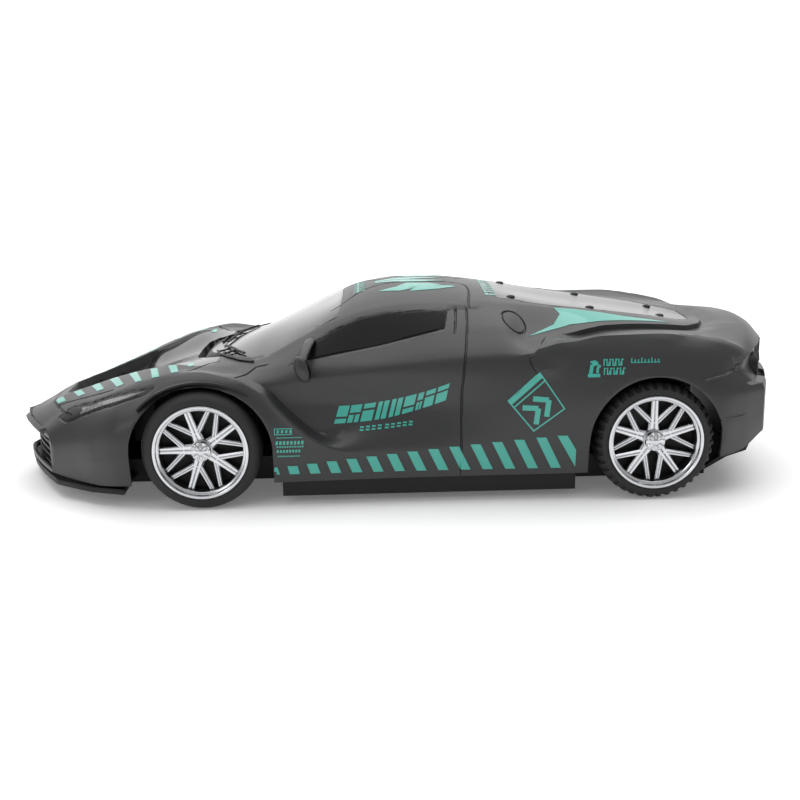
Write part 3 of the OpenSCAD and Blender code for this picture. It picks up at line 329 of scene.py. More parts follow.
# ---- the body skin
class Skin:
    """The body's outer surface, cut along the lines of its panels and grooves.

    par holds each vertex's station, guide, share of the width and side, and co its place in mm.
    """

    STEPS = [4, 9, 12, 8, 12, 15]   # divisions between one guide and the next
    STATIONS, CAP = 221, 20         # rings along the body and across each flat end

    def __init__(self):
        rings, cap = self.STATIONS, self.CAP
        caps = np.arange(cap) / cap
        s = np.concatenate([np.full(cap, NOSE_X), np.linspace(NOSE_X, TAIL_X, rings),
                            np.full(cap, TAIL_X)])
        c = np.concatenate([caps, np.ones(rings), caps[::-1]])
        v = np.concatenate([i + np.arange(n) / n for i, n in enumerate(self.STEPS)] + [[6.0]])
        rows, cols = len(s), len(v)
        self.bm = bmesh.new()
        par, index = [], {}
        for side in (-1, 1):
            for r in range(rows):
                for j in range(cols):
                    if j == cols - 1 and c[r] < 1 and r:
                        index[side, r, j] = index[-1, r - 1 if r <= cap else cap + rings - 1, j]
                    elif side > 0 and (j == cols - 1 or c[r] == 0):
                        index[side, r, j] = index[-1, r, j]
                    else:
                        index[side, r, j] = len(par)
                        par.append((s[r], v[j], c[r], side))
        self.par = np.array(par)
        self.co = loft(*self.par.T)
        verts = [self.bm.verts.new(q * MM) for q in self.co]
        for side in (-1, 1):
            for r in range(rows - 1):
                for j in range(cols - 1):
                    loop = [index[side, r, j], index[side, r + 1, j], index[side, r + 1, j + 1],
                            index[side, r, j + 1]]
                    loop = list(dict.fromkeys(loop if side < 0 else loop[::-1]))
                    if len(loop) > 2:
                        self.bm.faces.new([verts[i] for i in loop])
        self.bm.verts.index_update()

    def cut(self, field, *levels, reach=50):
        """Runs an edge through the mesh wherever the field passes a level."""
        for level in levels:
            bm = self.bm
            bm.verts.index_update()
            verts, edges = list(bm.verts), list(bm.edges)
            f = field(self.co) - level
            zero = np.abs(f) < 0.04
            ends = np.array([(e.verts[0].index, e.verts[1].index) for e in edges])
            a, b = ends[:, 0], ends[:, 1]
            hit = np.nonzero((f[a] * f[b] < 0) & ~zero[a] & ~zero[b]
                             & (np.abs(f[a]) < reach) & (np.abs(f[b]) < reach))[0]
            if not len(hit):
                continue
            a, b = a[hit], b[hit]
            t = f[a] / (f[a] - f[b])
            new = [bmesh.utils.edge_split(edges[e], verts[i], float(w))[1]
                   for e, i, w in zip(hit, a, t)]
            row = self.par[a] * (1 - t)[:, None] + self.par[b] * t[:, None]
            wider = np.abs(self.co[a, 1]) > np.abs(self.co[b, 1])
            row[:, 3] = np.where(wider, self.par[a, 3], self.par[b, 3])
            place = loft(*row.T)
            for vert, q in zip(new, place):
                vert.co = q * MM
            self.par = np.concatenate([self.par, row])
            self.co = np.concatenate([self.co, place])
            bmesh.ops.connect_verts(bm, verts=new + [verts[i] for i in np.nonzero(zero)[0]])
        self.bm.verts.index_update()

    def centres(self):
        """Middle of every face, in mm, before the surface is pushed in or out."""
        return np.array([self.co[[v.index for v in f.verts]].mean(0) for f in self.bm.faces])

    def push(self, depth):
        """Moves each vertex inwards by its depth in mm."""
        self.bm.normal_update()
        for v, d in zip(self.bm.verts, depth):
            if d:
                v.co -= v.normal * (d * MM)


PANELS = {"windscreen": in_plan(WINDSCREEN), "engine_cover": in_plan(ENGINE_COVER),
          "side_window": in_side(SIDE_WINDOW), "headlight": in_side(HEADLIGHT)}
HOLES = [front_arch, rear_arch, lamp_hole, nose_opening, tail_opening]
GROOVES = [plan_line(g) for g in PLAN_GROOVES] + [side_line(g) for g in SIDE_GROOVES]
RIDGES = [side_line(g) for g in TAIL_RIDGES]
hood, outlet = in_plan(HOOD_EDGE), in_plan(OUTLET)
GAP_WIDTH = 0.2
# Each feature has edges on its line, and beside it where its relief starts and ends
skin = Skin()
for hole in HOLES:
    skin.cut(hole, 0, 0.7)
for field in PANELS.values():
    skin.cut(field, -0.8, -GAP_WIDTH, 0, 0.45)
for line in GROOVES + RIDGES + [fuel_cap]:
    skin.cut(line, -0.5, -0.14, 0.14, 0.5, reach=3)
skin.cut(crease_field, -1.4, -0.6, 0, 0.7, 1.5, 2.4)
skin.cut(intake, 0, 0.5, reach=4)
skin.cut(deck, 0, 0.6, reach=4)
skin.cut(tail_recess, 0, -0.7)
skin.cut(hood, 0, -1)
skin.cut(outlet, 0, 0.4)

# ---- relief of the skin, in mm
HOLE_LIP, GAP_DEPTH, GROOVE_DEPTH, RIDGE_HEIGHT = 0.3, 0.25, 0.6, 0.45
OUTLET_DEPTH, HAUNCH_HEIGHT, WING_EDGE_HEIGHT = 3.0, 0.7, 0.6
DECK_STEP, INTAKE_STEP, TAIL_RECESS_DEPTH = 1.7, 1.5, 2.8
co = skin.co
depth = np.zeros(len(co))
for hole in HOLES:
    depth += np.where(np.abs(hole(co)) < 0.05, HOLE_LIP, 0)
for field in PANELS.values():
    f = field(co)
    depth += np.where((np.abs(f) < 0.05) | (np.abs(f + GAP_WIDTH) < 0.05), GAP_DEPTH, 0)
for groove in GROOVES + [fuel_cap]:
    depth += GROOVE_DEPTH * (np.abs(groove(co)) < 0.2)
for ridge in RIDGES:
    depth -= RIDGE_HEIGHT * (np.abs(ridge(co)) < 0.2)
x, y, z = co.T
# the middle of the hood lies lower, most of all at the front
sink = 4.5 - 3.0 * ramp((x + 106) / 11) - 1.5 * ramp((x + 95) / 25)
depth += np.where(hood(co) < 0, sink * ramp(-hood(co)), 0)
# the outlet ahead of the windscreen drops at its front edge and rises back to the glass
in_outlet = np.clip(-outlet(co) / 0.01, 0, 1)
FRONT_OF_OUTLET = np.array(OUTLET[:5], float)
outlet_front = along(FRONT_OF_OUTLET[:, 1], FRONT_OF_OUTLET[:, 0], np.abs(y))
depth += in_outlet * OUTLET_DEPTH * (1 - ramp((x - outlet_front) / 5))
# ridge along the rear haunch
HAUNCH_LINE = [(51.2, 56.9), (63.3, 54.2), (75.7, 53.7), (97.6, 53.6), (111.3, 49.8),
               (127.5, 46.3)]
beside_haunch = line_distance(HAUNCH_LINE, x, np.abs(y))
depth -= np.where(z > 52, HAUNCH_HEIGHT * np.exp(-(beside_haunch / 1.5) ** 2)
                  * ramp((x - 50) / 12) * ramp((132 - x) / 14), 0)
# raised edge of the wing where it folds onto the door
edge = crease_field(co)
depth -= (WING_EDGE_HEIGHT * np.exp(-((edge + 0.6) / 0.8) ** 2) * ramp((x + 58) / 8)
          * ramp((-10 - x) / 10))
# step down from the raised engine deck to the haunches and the tail
outside = deck(co)
depth += np.where((outside > 0) & (outside < 10), DECK_STEP * np.clip(outside / 0.6, 0, 1)
                  * (1 - ramp(outside / 9)) * ramp((x - 60) / 12), 0)
# air intake step behind the door
behind = intake(co)
depth -= np.where((behind > 0) & (behind < 12), INTAKE_STEP * np.clip(behind / 0.5, 0, 1)
                  * (1 - ramp(behind / 11)) * ramp((z - 47) / 2.5) * ramp((60 - z) / 2), 0)
skin.push(depth)
# the panel that carries the tail lamps lies further forward
for v, d in zip(skin.bm.verts, TAIL_RECESS_DEPTH * np.clip(-tail_recess(co) / 0.7, 0, 1)):
    v.co.x -= d * MM
skin.bm.normal_update()

# Every face is labelled as body, as one of the panels, as the gap round a panel, or as a hole
BODY, GAP, HOLE = 0, 5, 9
PANEL_LABEL = {name: k for k, name in enumerate(PANELS, 1)}
centre = skin.centres()
label = np.full(len(centre), BODY)
for name, k in PANEL_LABEL.items():
    f = PANELS[name](centre)
    label[f < -GAP_WIDTH] = k
    label[(f < 0) & (f >= -GAP_WIDTH)] = GAP
for hole in HOLES:
    label[hole(centre) < 0] = HOLE


# ---- materials
def add_node(tree, kind, **values):
    """Adds a shader node; the values go to its inputs, with _ for a space in their names."""
    node = tree.nodes.new(kind)
    for name, value in values.items():
        node.inputs[name.replace("_", " ")].default_value = value
    return node


def material(name, color, rough, metal=0.0, spec=0.5, grain=900.0, bump=0.05, coat=0.0,
             ribs=None):
    """A moulded surface with fine grain, slightly uneven gloss and, if asked for, ribs."""
    uneven = 0.12
    m = bpy.data.materials.new(name)
    m.use_nodes = True
    tree = m.node_tree
    link = tree.links.new
    surface = tree.nodes["Principled BSDF"]
    for key, value in (("Base Color", (*color, 1)), ("Metallic", metal),
                       ("Specular IOR Level", spec), ("Coat Weight", coat),
                       ("Coat Roughness", 0.08)):
        surface.inputs[key].default_value = value
    at = tree.nodes.new("ShaderNodeTexCoord").outputs["Object"]
    cloud = add_node(tree, "ShaderNodeTexNoise", Scale=60, Detail=4)
    link(at, cloud.inputs["Vector"])
    spread = add_node(tree, "ShaderNodeMapRange", To_Min=rough * (1 - uneven),
                      To_Max=min(1.0, rough * (1 + uneven)))
    link(cloud.outputs["Fac"], spread.inputs["Value"])
    link(spread.outputs["Result"], surface.inputs["Roughness"])
    fine = add_node(tree, "ShaderNodeTexNoise", Scale=grain)
    link(at, fine.inputs["Vector"])
    relief = add_node(tree, "ShaderNodeBump", Strength=bump, Distance=0.0002)
    link(fine.outputs["Fac"], relief.inputs["Height"])
    if ribs:
        wave = add_node(tree, "ShaderNodeTexWave", Scale=ribs, Distortion=0.4)
        wave.bands_direction = "X"
        link(at, wave.inputs["Vector"])
        ribbed = add_node(tree, "ShaderNodeBump", Strength=0.9, Distance=0.0008)
        link(wave.outputs["Fac"], ribbed.inputs["Height"])
        link(relief.outputs["Normal"], ribbed.inputs["Normal"])
        relief = ribbed
    link(relief.outputs["Normal"], surface.inputs["Normal"])
    return m


M = {
    "shell": material("shell_satin", (0.024, 0.0245, 0.026), 0.40, bump=0.15),
    "gloss": material("hood_gloss", (0.012, 0.012, 0.013), 0.16, bump=0.02),
    "cover": material("cover_gloss", (0.030, 0.031, 0.032), 0.22, bump=0.03),
    "screen": material("windscreen_plastic", (0.012, 0.012, 0.013), 0.12, bump=0.02, spec=0.7),
    "window": material("window_plastic", (0.005, 0.005, 0.006), 0.30, bump=0.02, spec=0.08),
    "black": material("black_plastic", (0.008, 0.008, 0.009), 0.5, bump=0.15, spec=0.3),
    "lens": material("lamp_clear", (0.06, 0.062, 0.066), 0.16, bump=0.4, grain=1400.0,
                     coat=0.6, ribs=190.0),
    "red": material("lamp_red", (0.32, 0.012, 0.012), 0.15, bump=0.03, coat=0.7),
    "tyre": material("tyre", (0.018, 0.018, 0.019), 0.6, bump=0.25, grain=1500.0, spec=0.35),
    "rim": material("rim_chrome", (0.62, 0.63, 0.65), 0.24, metal=1.0, bump=0.03),
    # black for the inside of the wheels: painted shade for the shadowed barrel and the space
    # behind the spokes
    "barrel": material("barrel_black", (0.008, 0.008, 0.009), 0.5, spec=0.25),
    "steel": material("steel", (0.50, 0.50, 0.52), 0.30, metal=1.0),
    "nylon": material("nylon", (0.74, 0.74, 0.70), 0.45, bump=0.06),
    "board": material("board", (0.02, 0.14, 0.05), 0.40, bump=0.1),
    "wrap": material("battery_wrap", (0.03, 0.10, 0.36), 0.30, bump=0.04),
    "bronze": material("bronze", (0.50, 0.33, 0.14), 0.35, metal=1.0),
    "brass": material("brass", (0.62, 0.45, 0.16), 0.30, metal=1.0),
    "wire": material("wire", (0.35, 0.02, 0.02), 0.40),
    "teal": material("decal_teal", (0.035, 0.36, 0.29), 0.36, coat=0.5),
}
# The look of each material slot, where the two names differ
LOOK_OF_SLOT = {"shell_plastic": "shell", "window_plastic": "window", "black_plastic": "black",
                "lamp_clear": "lens", "lamp_red": "red", "rim_chrome": "rim",
                "battery_wrap": "wrap", "decal_teal": "teal"}


# ---- piece helpers
def piece(name, bm, mats, slot, replaces=(), body="chassis", thick=0.0, smooth=30.0,
          closed=True):
    """Turns a bmesh in metres into a named piece that rides a body.

    thick in mm adds a wall behind the surface, or in front of it if negative; closed says
    that the mesh is a solid whose normals can be turned outwards.
    """
    if closed:
        bmesh.ops.recalc_face_normals(bm, faces=bm.faces)
    mesh = bpy.data.meshes.new(name)
    bm.to_mesh(mesh)
    bm.free()
    mats = mats if isinstance(mats, (list, tuple)) else [mats]
    for m in mats:
        mesh.materials.append(M[m])
    obj = bpy.data.objects.new(name, mesh)
    bpy.context.scene.collection.objects.link(obj)
    if thick:
        shell = obj.modifiers.new("wall", "SOLIDIFY")
        shell.thickness = abs(thick) * MM
        shell.offset = -1 if thick > 0 else 1
        graph = bpy.context.evaluated_depsgraph_get()
        baked = bpy.data.meshes.new_from_object(obj.evaluated_get(graph))
        obj.modifiers.clear()
        obj.data = baked
        baked.name = name
    obj.data.polygons.foreach_set("use_smooth", [True] * len(obj.data.polygons))
    obj.data.set_sharp_from_angle(angle=radians(smooth))
    if replaces:
        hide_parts(*replaces)
    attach(obj, body)
    return obj


def skin_part(keep, index_of=None):
    """A copy of the skin's faces that are in keep."""
    bm = skin.bm.copy()
    faces = list(bm.faces)
    if index_of is not None:
        for f, k in zip(faces, index_of):
            f.material_index = int(k)
    bmesh.ops.delete(bm, geom=[f for f, k in zip(faces, keep) if not k], context="FACES")
    return bm


def vert(bm, *place):
    """A new vertex at a place in mm."""
    return bm.verts.new(Vector(place) * MM)


def bridge(bm, rings, capped=False):
    """Faces between each ring of vertices and the next, and over both ends if capped."""
    n = len(rings[0])
    for p, q in zip(rings[:-1], rings[1:]):
        for i in range(n):
            bm.faces.new([p[i], p[(i + 1) % n], q[(i + 1) % n], q[i]])
    if capped:
        bm.faces.new(rings[0][::-1])
        bm.faces.new(rings[-1])


def quad(x0, x1, z0, z1, lean=0.0):
    """A four-sided outline whose far side is moved by lean."""
    return [(x0, z0), (x1, z0), (x1 + lean, z1), (x0 + lean, z1)]


def extrude_outline(bm, outline, depth, place, bevel=0.0):
    """A prism of an outline; place maps (u, v, w) in mm to a point in mm."""
    low = [vert(bm, *place(u, v, 0)) for u, v in outline]
    high = [vert(bm, *place(u, v, depth)) for u, v in outline]
    ends = [bm.faces.new(low[::-1]), bm.faces.new(high)]
    bridge(bm, [low, high])
    if bevel:
        edges = list({e for f in ends for e in f.edges})
        bmesh.ops.bevel(bm, geom=edges, offset=bevel * MM, segments=2, affect="EDGES",
                        profile=0.6, clamp_overlap=True)


def lathe(bm, profile, place, n=96, shape=None, index=0, close=True):
    """Turns a profile of (r, d) about an axis.

    place maps (across, up, along) in mm to a point in mm, and shape(angle, k, r, d) may
    change r and d of profile point k at an angle.
    """
    rings = []
    for k, (r, d) in enumerate(profile):
        if r < 1e-6:
            rings.append([vert(bm, *place(0, 0, d))])
            continue
        ring = []
        for i in range(n):
            a = tau * i / n
            rr, dd = shape(a, k, r, d) if shape else (r, d)
            ring.append(vert(bm, *place(rr * cos(a), rr * sin(a), dd)))
        rings.append(ring)
    pairs = list(zip(rings[:-1], rings[1:]))
    if close:
        pairs.append((rings[-1], rings[0]))
    for p, q in pairs:
        for i in range(n):
            loop = [p[i % len(p)], p[(i + 1) % len(p)], q[(i + 1) % len(q)], q[i % len(q)]]
            loop = list(dict.fromkeys(loop))
            if len(loop) > 2:
                bm.faces.new(loop).material_index = index


def sweep(bm, a, b, width, depth, place, groove, width_b, rise=0.0, chamfer=0.35):
    """A grooved, chamfered bar from a to b, its top at height 0 at a and at rise at b."""
    a, b = Vector(a), Vector(b)
    u = (b - a).normalized()
    w = Vector((-u.y, u.x))
    rings = []
    for p, across, up in ((a, width, 0.0), (b, width_b, rise)):
        h = across / 2
        c = min(chamfer, h * 0.45)
        prof = [(-h, -depth), (-h, -c), (-h + c, 0), (-0.32, 0), (0, -groove), (0.32, 0),
                (h - c, 0), (h, -c), (h, -depth)]
        rings.append([vert(bm, *place(p.x + w.x * q, p.y + w.y * q, up + r)) for q, r in prof])
    bridge(bm, rings, capped=True)


# ---- shell and panels
# the outlet ahead of the windscreen takes black plastic: painted shade standing in for the dark
# inside of an open vent; the gaps round the panels take the same black as dark joints
outlet_painted_shade = outlet(centre) < 0
in_hood = (hood(centre) < 0) & (label == BODY)
is_gloss = in_hood & ((centre[:, 0] > -101) | outlet_painted_shade)
finish = np.where(outlet_painted_shade | (label == GAP), 2, np.where(is_gloss, 1, 0))
outer = skin_part(label != HOLE)
BODY_TREE = BVHTree.FromBMesh(outer)
outer.free()


def surface_below(x, y):
    """Height in mm of the body's surface at a place in plan."""
    return BODY_TREE.ray_cast(Vector((x, y, 200)) * MM, Vector((0, 0, -1)))[0].z / MM


def trim_inside(mesh):
    """Keeps the wall's inner side behind the nose and clear of the steered tyres.

    The front arches' inner lip, left slanting by the wall, is squared to the side.
    """
    for v in mesh.vertices:
        if v.co.x < NOSE_X * MM:
            v.co.x = (NOSE_X + SKIN_WALL) * MM
        q = v.co / MM
        dx, dz = q.x - FRONT_X, q.z - AXLE_Z
        if abs(q.y) > 44 and q.z < 50 and abs(dx) < 27:
            up = max(dz, 0) / FRONT_ARCH_RISE
            reach = hypot(dx / FRONT_ARCH_REACH, up)
            if 0.8 < reach < 1.0:
                v.co.x = (FRONT_X + dx / reach) * MM
                if dz > 0:
                    v.co.z = (AXLE_Z + dz / reach) * MM


shell = piece("bodyshell", skin_part((label == BODY) | (label == GAP), finish),
              ["shell", "gloss", "black"], "shell_plastic", ["body_shell"], thick=SKIN_WALL,
              smooth=26, closed=False)
trim_inside(shell.data)
piece("windscreen_panel", skin_part(label == PANEL_LABEL["windscreen"]), "screen",
      "window_plastic", ["windscreen"], thick=PANEL_WALL, closed=False)
piece("engine_cover_panel", skin_part(label == PANEL_LABEL["engine_cover"]), "cover",
      "shell_plastic", ["engine_cover"], thick=PANEL_WALL, closed=False)
for side, tag in SIDES:
    near = centre[:, 1] * side > 0
    glass = skin_part((label == PANEL_LABEL["side_window"]) & near)
    piece(f"side_window_panel_{tag}", glass, "window", "window_plastic",
          [f"side_window_{tag}"], thick=PANEL_WALL, closed=False)
    # the lamp's front end and its rim are black
    dark = ((centre[:, 0] < -116.5) | (PANELS["headlight"](centre) > -0.8)).astype(int)
    lens = skin_part((label == PANEL_LABEL["headlight"]) & near, dark)
    piece(f"headlight_lens_{tag}", lens, ["lens", "black"], "lamp_clear",
          [f"headlight_{tag}"], thick=LENS_WALL, closed=False)


# ---- wheels
FACE_DEPTH = 3.8   # how far the spokes' face lies inside the tyre's outer wall


def wheel_place(cx, side):
    """Places a wheel's (across, up, outwards) at an axle."""
    return lambda a, b, d: (cx - side * a, side * d, AXLE_Z + b)


def tyre_mesh(bm, cx, side, yi, yo, lugs):
    """A tyre from yi to yo off the middle, smooth or with lugs cut into its outer shoulder."""
    r = TYRE_R
    prof = [(16.85, yi + 1.0), (17.4, yi + 0.3), (18.2, yi), (19.4, yi + 0.1), (20.2, yi + 0.7),
            (20.9, yi + 1.5), (21.4, yi + 2.5), (r, yi + 3.6)]
    prof += [(r, yi + 3.6 + (yo - yi - 7.2) * k / 6) for k in range(1, 6)]
    prof += [(r, yo - 3.6), (21.45, yo - 2.6), (21.0, yo - 1.8), (20.5, yo - 1.1),
             (19.9, yo - 0.55), (19.5, yo - 0.3), (19.2, yo - 0.32), (18.6, yo - 0.05),
             (18.1, yo), (17.7, yo - 0.1), (17.4, yo - 0.35), (16.85, yo - 0.8)]
    outer = len(prof) - 12   # the first point of the outer shoulder

    def shape(a, k, rr, dd):
        if lugs and outer <= k < outer + 5:
            p = (a * lugs / tau) % 1
            if p < 0.34:
                return rr - 0.6, dd - 0.25
        if lugs and 7 <= k < outer:
            p = (a * lugs / 2 / tau + 0.18 * (k % 3)) % 1
            if p < 0.16:
                return rr - 0.5, dd
        return rr, dd
    lathe(bm, prof, wheel_place(cx, side), n=lugs * 6 if lugs else 144, shape=shape)


def rim_mesh(bm, cx, side, yi, yo, phase, hub_in, bore):
    """A dished rim with five forked spokes, the first at the angle phase."""
    place = wheel_place(cx, side)
    lip = [(16.82, yi + 0.9), (16.82, yo - 0.42), (17.3, yo - 0.42), (17.3, yo + 0.05),
           (17.18, yo + 0.25), (16.9, yo + 0.32), (16.45, yo + 0.28), (16.2, yo + 0.1),
           (16.05, yo - 0.4), (15.95, yo - 1.0), (15.55, yo - 1.15), (15.2, yo - 1.5),
           (15.1, yo - 2.2)]
    # the barrel's inside takes index 1, black: painted shade for the shadowed inside of the wheel
    shaded_barrel = [(15.1, yo - 2.2), (15.0, yo - 4.2), (15.3, yi + 3), (15.6, yi + 0.9),
            (16.82, yi + 0.9)]
    lathe(bm, lip, place, close=False)
    lathe(bm, shaded_barrel, place, index=1, close=False)
    face = yo - FACE_DEPTH
    fork, reach = radians(47), 11.15
    for i in range(5):
        turn = radians(phase) + i * tau / 5

        def spoke(p, q, h, a=turn):
            x, y = p * cos(a) - q * sin(a), p * sin(a) + q * cos(a)
            return place(x, y, face + h)
        sweep(bm, (2.6, 0), (7.6, 0), 4.6, 2.6, spoke, groove=0.5, width_b=3.6, chamfer=0.7)
        sweep(bm, (6.0, 0), (16.0, 0), 2.9, 2.2, spoke, groove=0.5, width_b=2.6, rise=0.5)
        for k in (-1, 1):
            end = (6.2 + reach * cos(fork), k * reach * sin(fork))
            sweep(bm, (5.9, k * 0.35), end, 2.1, 1.9, spoke, groove=0.4, width_b=1.9, rise=0.5,
                  chamfer=0.4)
    lathe(bm, [(bore, hub_in), (3.55, hub_in), (3.6, face - 2.4), (3.9, face - 2.2),
               (4.05, face - 0.1), (3.9, face + 0.18), (bore, face + 0.18)], place)
    # a black disc behind the spokes: painted shade for the dark seen between them
    lathe(bm, [(3.4, yo - 8.2), (3.4, yo - 9.2), (15.3, yo - 8.4), (15.3, yo - 7.4)], place,
          index=1)
    bmesh.ops.remove_doubles(bm, verts=bm.verts, dist=1e-7)


def cap_mesh(bm, cx, side, base):
    """A hub cap with eight petals pressed into its edge."""
    def shape(a, k, r, d):
        petal = max(0.0, -cos(8 * a))
        if 4 <= k <= 6:
            return r, d - 0.4 * petal
        return r, d
    lathe(bm, [(2.95, base), (3.55, base), (3.62, base + 1.7), (3.45, base + 2.25),
               (3.1, base + 2.45), (2.4, base + 2.65), (1.5, base + 2.75), (1.2, base + 2.6),
               (0.6, base + 2.85), (0, base + 2.9), (0, base + 2.2), (2.95, base + 2.2)],
          wheel_place(cx, side), shape=shape)


def wheel(axle, tag, side, cx, span, body, nodes, phase, hub_in, bore, lugs=0):
    """Tyre, rim and cap of a wheel; nodes are the parts they stand for, if any."""
    bm = bmesh.new()
    tyre_mesh(bm, cx, side, *span, lugs)
    piece(f"tyre_{axle}_{tag}", bm, "tyre", "tyre", nodes[:1], body, smooth=35)
    bm = bmesh.new()
    rim_mesh(bm, cx, side, *span, phase, hub_in, bore)
    piece(f"rim_{axle}_{tag}", bm, ["rim", "barrel"], "rim_chrome", nodes[1:2], body)
    bm = bmesh.new()
    cap_mesh(bm, cx, side, span[1] - FACE_DEPTH + 0.2)
    piece(f"cap_{axle}_{tag}", bm, "rim", "rim_chrome", nodes[2:], body)


for side, tag in SIDES:
    wheel("front", tag, side, FRONT_X, (46, 60), f"front_wheel_{tag}",
          [f"front_tyre_{tag}", f"front_rim_{tag}", f"front_cap_{tag}"], 36, 46.6, 1.56)
    wheel("rear", tag, side, REAR_X, (44.6, 60.6), "rear_axle",
          ["rear_tyres", "rear_rims", "rear_caps"] if side < 0 else [], 18, 42, 1.5, lugs=40)


# ---- dark liners inside the arches
def liner(name, cx, a, b, side):
    """Roof and inner wall behind an arch, with a reaching forwards and b upwards."""
    def on_arc(t, grow):
        t = radians(38 + 104 * t)
        return cx + (a + grow) * cos(t), AXLE_Z + (b + grow) * sin(t)

    bm = bmesh.new()
    rings = []
    for i in range(41):
        ring = []
        for away, grow in ((57, 0), (35, 0), (34.2, -2), (33.4, -2), (34.2, 0.7), (57, 0.7)):
            u, v = on_arc(i / 40, grow)
            ring.append(vert(bm, u, side * away, v))
        rings.append(ring)
    bridge(bm, rings, capped=True)
    wall = [on_arc(i / 24, 0.3) for i in range(25)] + [(cx - a * 0.6, 37.2), (cx + a * 0.6, 37.2)]
    extrude_outline(bm, wall, 0.8, lambda u, v, w: (u, side * (34.2 - w), v), bevel=0.2)
    if cx == FRONT_X:
        fore = [(cx - 28, 20), (cx - 19.5, 20), (cx - 19.5, 39), (cx - 28, 39)]
        extrude_outline(bm, fore, 0.8, lambda u, v, w: (u, side * (35.4 - w), v), bevel=0.2)
    piece(name, bm, "black", "black_plastic")


for side, tag in SIDES:
    liner(f"front_liner_{tag}", FRONT_X, 28.0, 24.6, side)
    liner(f"rear_liner_{tag}", REAR_X, 25.2, 25.2, side)


# ---- nose and tail pieces
def nose_arc(d, half, steps):
    """Points in plan that follow the nose at d behind it, from -half to half."""
    across = [-half + 2 * half * i / steps for i in range(steps + 1)]
    return [(NOSE_X + d + nose_sweep(y), y) for y in across]


def splitter():
    bm = bmesh.new()
    corner = [(-112, 51), (-99, 55.5), (-99, 33.3), (-116.3, 33.3)]
    plate = nose_arc(0.6, 41, 28) + corner + [(x, -y) for x, y in reversed(corner)]
    extrude_outline(bm, plate, 2.2, lambda u, v, w: (u, v, 5 + w), bevel=0.5)
    middle = nose_arc(0.2, 15, 12) + nose_arc(4, 15, 12)[::-1]
    extrude_outline(bm, middle, 1.9, lambda u, v, w: (u, v, 7.05 + w), bevel=0.6)
    piece("splitter", bm, "black", "black_plastic", ["front_splitter"])


def grille():
    bm = bmesh.new()
    slat = nose_arc(3.2, 40, 24) + nose_arc(4.6, 40, 24)[::-1]
    for z0 in (9.2, 11.8, 14.4, 17.0, 19.6):
        extrude_outline(bm, slat, 1.1, lambda u, v, w, z=z0: (u, v, z + w), bevel=0.25)
    for y0 in np.arange(-30, 31, 6):
        x0 = NOSE_X + 4.0 + nose_sweep(y0)
        post = quad(x0, x0 + 1.2, y0 - 0.5, y0 + 0.5)
        extrude_outline(bm, post, 12.4, lambda u, v, w: (u, v, 9.2 + w), bevel=0.2)
    piece("grille", bm, "black", "black_plastic", ["front_grille"])


def diffuser():
    bm = bmesh.new()
    tray = [(118.2, 4.05), (131, 11.5), (132.5, 25.8), (130.8, 25.8), (129.4, 12.6), (118.2, 6)]
    extrude_outline(bm, tray, 78, lambda u, v, w: (u, w - 39, v), bevel=0.4)
    fin = [(121, 5.1), (128.5, 6.4), (137, 9), (138.6, 13), (139, 17), (135.5, 18.6), (132, 20),
           (130.5, 11)]
    for y0 in range(-30, 31, 12):
        extrude_outline(bm, fin, 1.6, lambda u, v, w, y=y0: (u, y - 0.8 + w, v), bevel=0.35)
    piece("diffuser", bm, "black", "black_plastic", ["rear_diffuser"])


def exhausts():
    bm = bmesh.new()
    pipe = [(2.5, 0.2), (3.3, 0), (3.4, 1), (3.4, 10.6), (3.3, 11.6), (3.05, 12), (2.75, 11.8),
            (2.65, 11.2), (2.6, 2.5), (0, 2.2), (0, 0.6)]
    for side in (-1, 1):
        lathe(bm, pipe, lambda a, b, d, s=side: (EXHAUST_X + d, s * EXHAUST_Y - a, EXHAUST_Z + b),
              n=64)
    piece("exhausts", bm, "rim", "rim_chrome", ["exhaust_tips"])


def tail_lamps():
    """A black housing with a domed red face in it on each side."""
    bm = bmesh.new()
    housing = [(0, 0), (7.4, 0), (7.4, 1), (5.7, 1.2), (5.82, 5.6), (5.6, 6.6), (5.1, 7.1),
               (4.6, 6.9)]
    face = [(4.6, 6.9), (4.45, 6.0), (4.1, 5.6), (3.2, 6.1), (1.8, 6.6), (0, 6.8)]
    for side in (-1, 1):
        for k, prof in ((1, housing), (0, face)):
            lathe(bm, prof, lambda a, b, d, s=side: (LAMP_BASE_X + d, s * LAMP_Y - a, LAMP_Z + b),
                  n=64, index=k, close=False)
    bmesh.ops.remove_doubles(bm, verts=bm.verts, dist=1e-7)
    piece("tail_lenses", bm, ["red", "black"], "lamp_red", ["tail_lamps"])


def cover_screws():
    """Screw heads with a recess, each standing on the engine cover."""
    bm = bmesh.new()
    prof = [(0, -3), (1.05, -3), (1.05, 0.4), (1.7, 0.7), (1.72, 1.1), (1.5, 1.45), (1.0, 1.6),
            (0.75, 1.58), (0.7, 1.1), (0, 1.05)]
    for x0, y0 in ((46, 19), (77, 17), (106, 11)):
        for side in (-1, 1):
            z0 = surface_below(x0, y0 * side) - 1.0
            lathe(bm, prof, lambda a, b, d, x=x0, y=y0 * side, z=z0: (x + a, y + b, z + d),
                  n=32, close=False)
    piece("cover_screws", bm, "black", "black_plastic", ["engine_cover_screws"])


def mirror_pod(bm, side):
    """A flattened ball whose top leans forward."""
    rings = []
    for j in range(25):
        t = pi * j / 24
        ring = []
        for i in range(40):
            a = tau * i / 40
            ahead = copysign(abs(cos(a)) ** 0.8, cos(a))
            ring.append(vert(bm, MIRROR_X + 2.9 * ahead * sin(t) - 1.1 * cos(t),
                             side * (MIRROR_Y + 2.7 * sin(a) * sin(t)),
                             MIRROR_Z + 4.8 * cos(t)))
        rings.append(ring)
    bridge(bm, rings)
    bmesh.ops.remove_doubles(bm, verts=bm.verts, dist=1e-6)


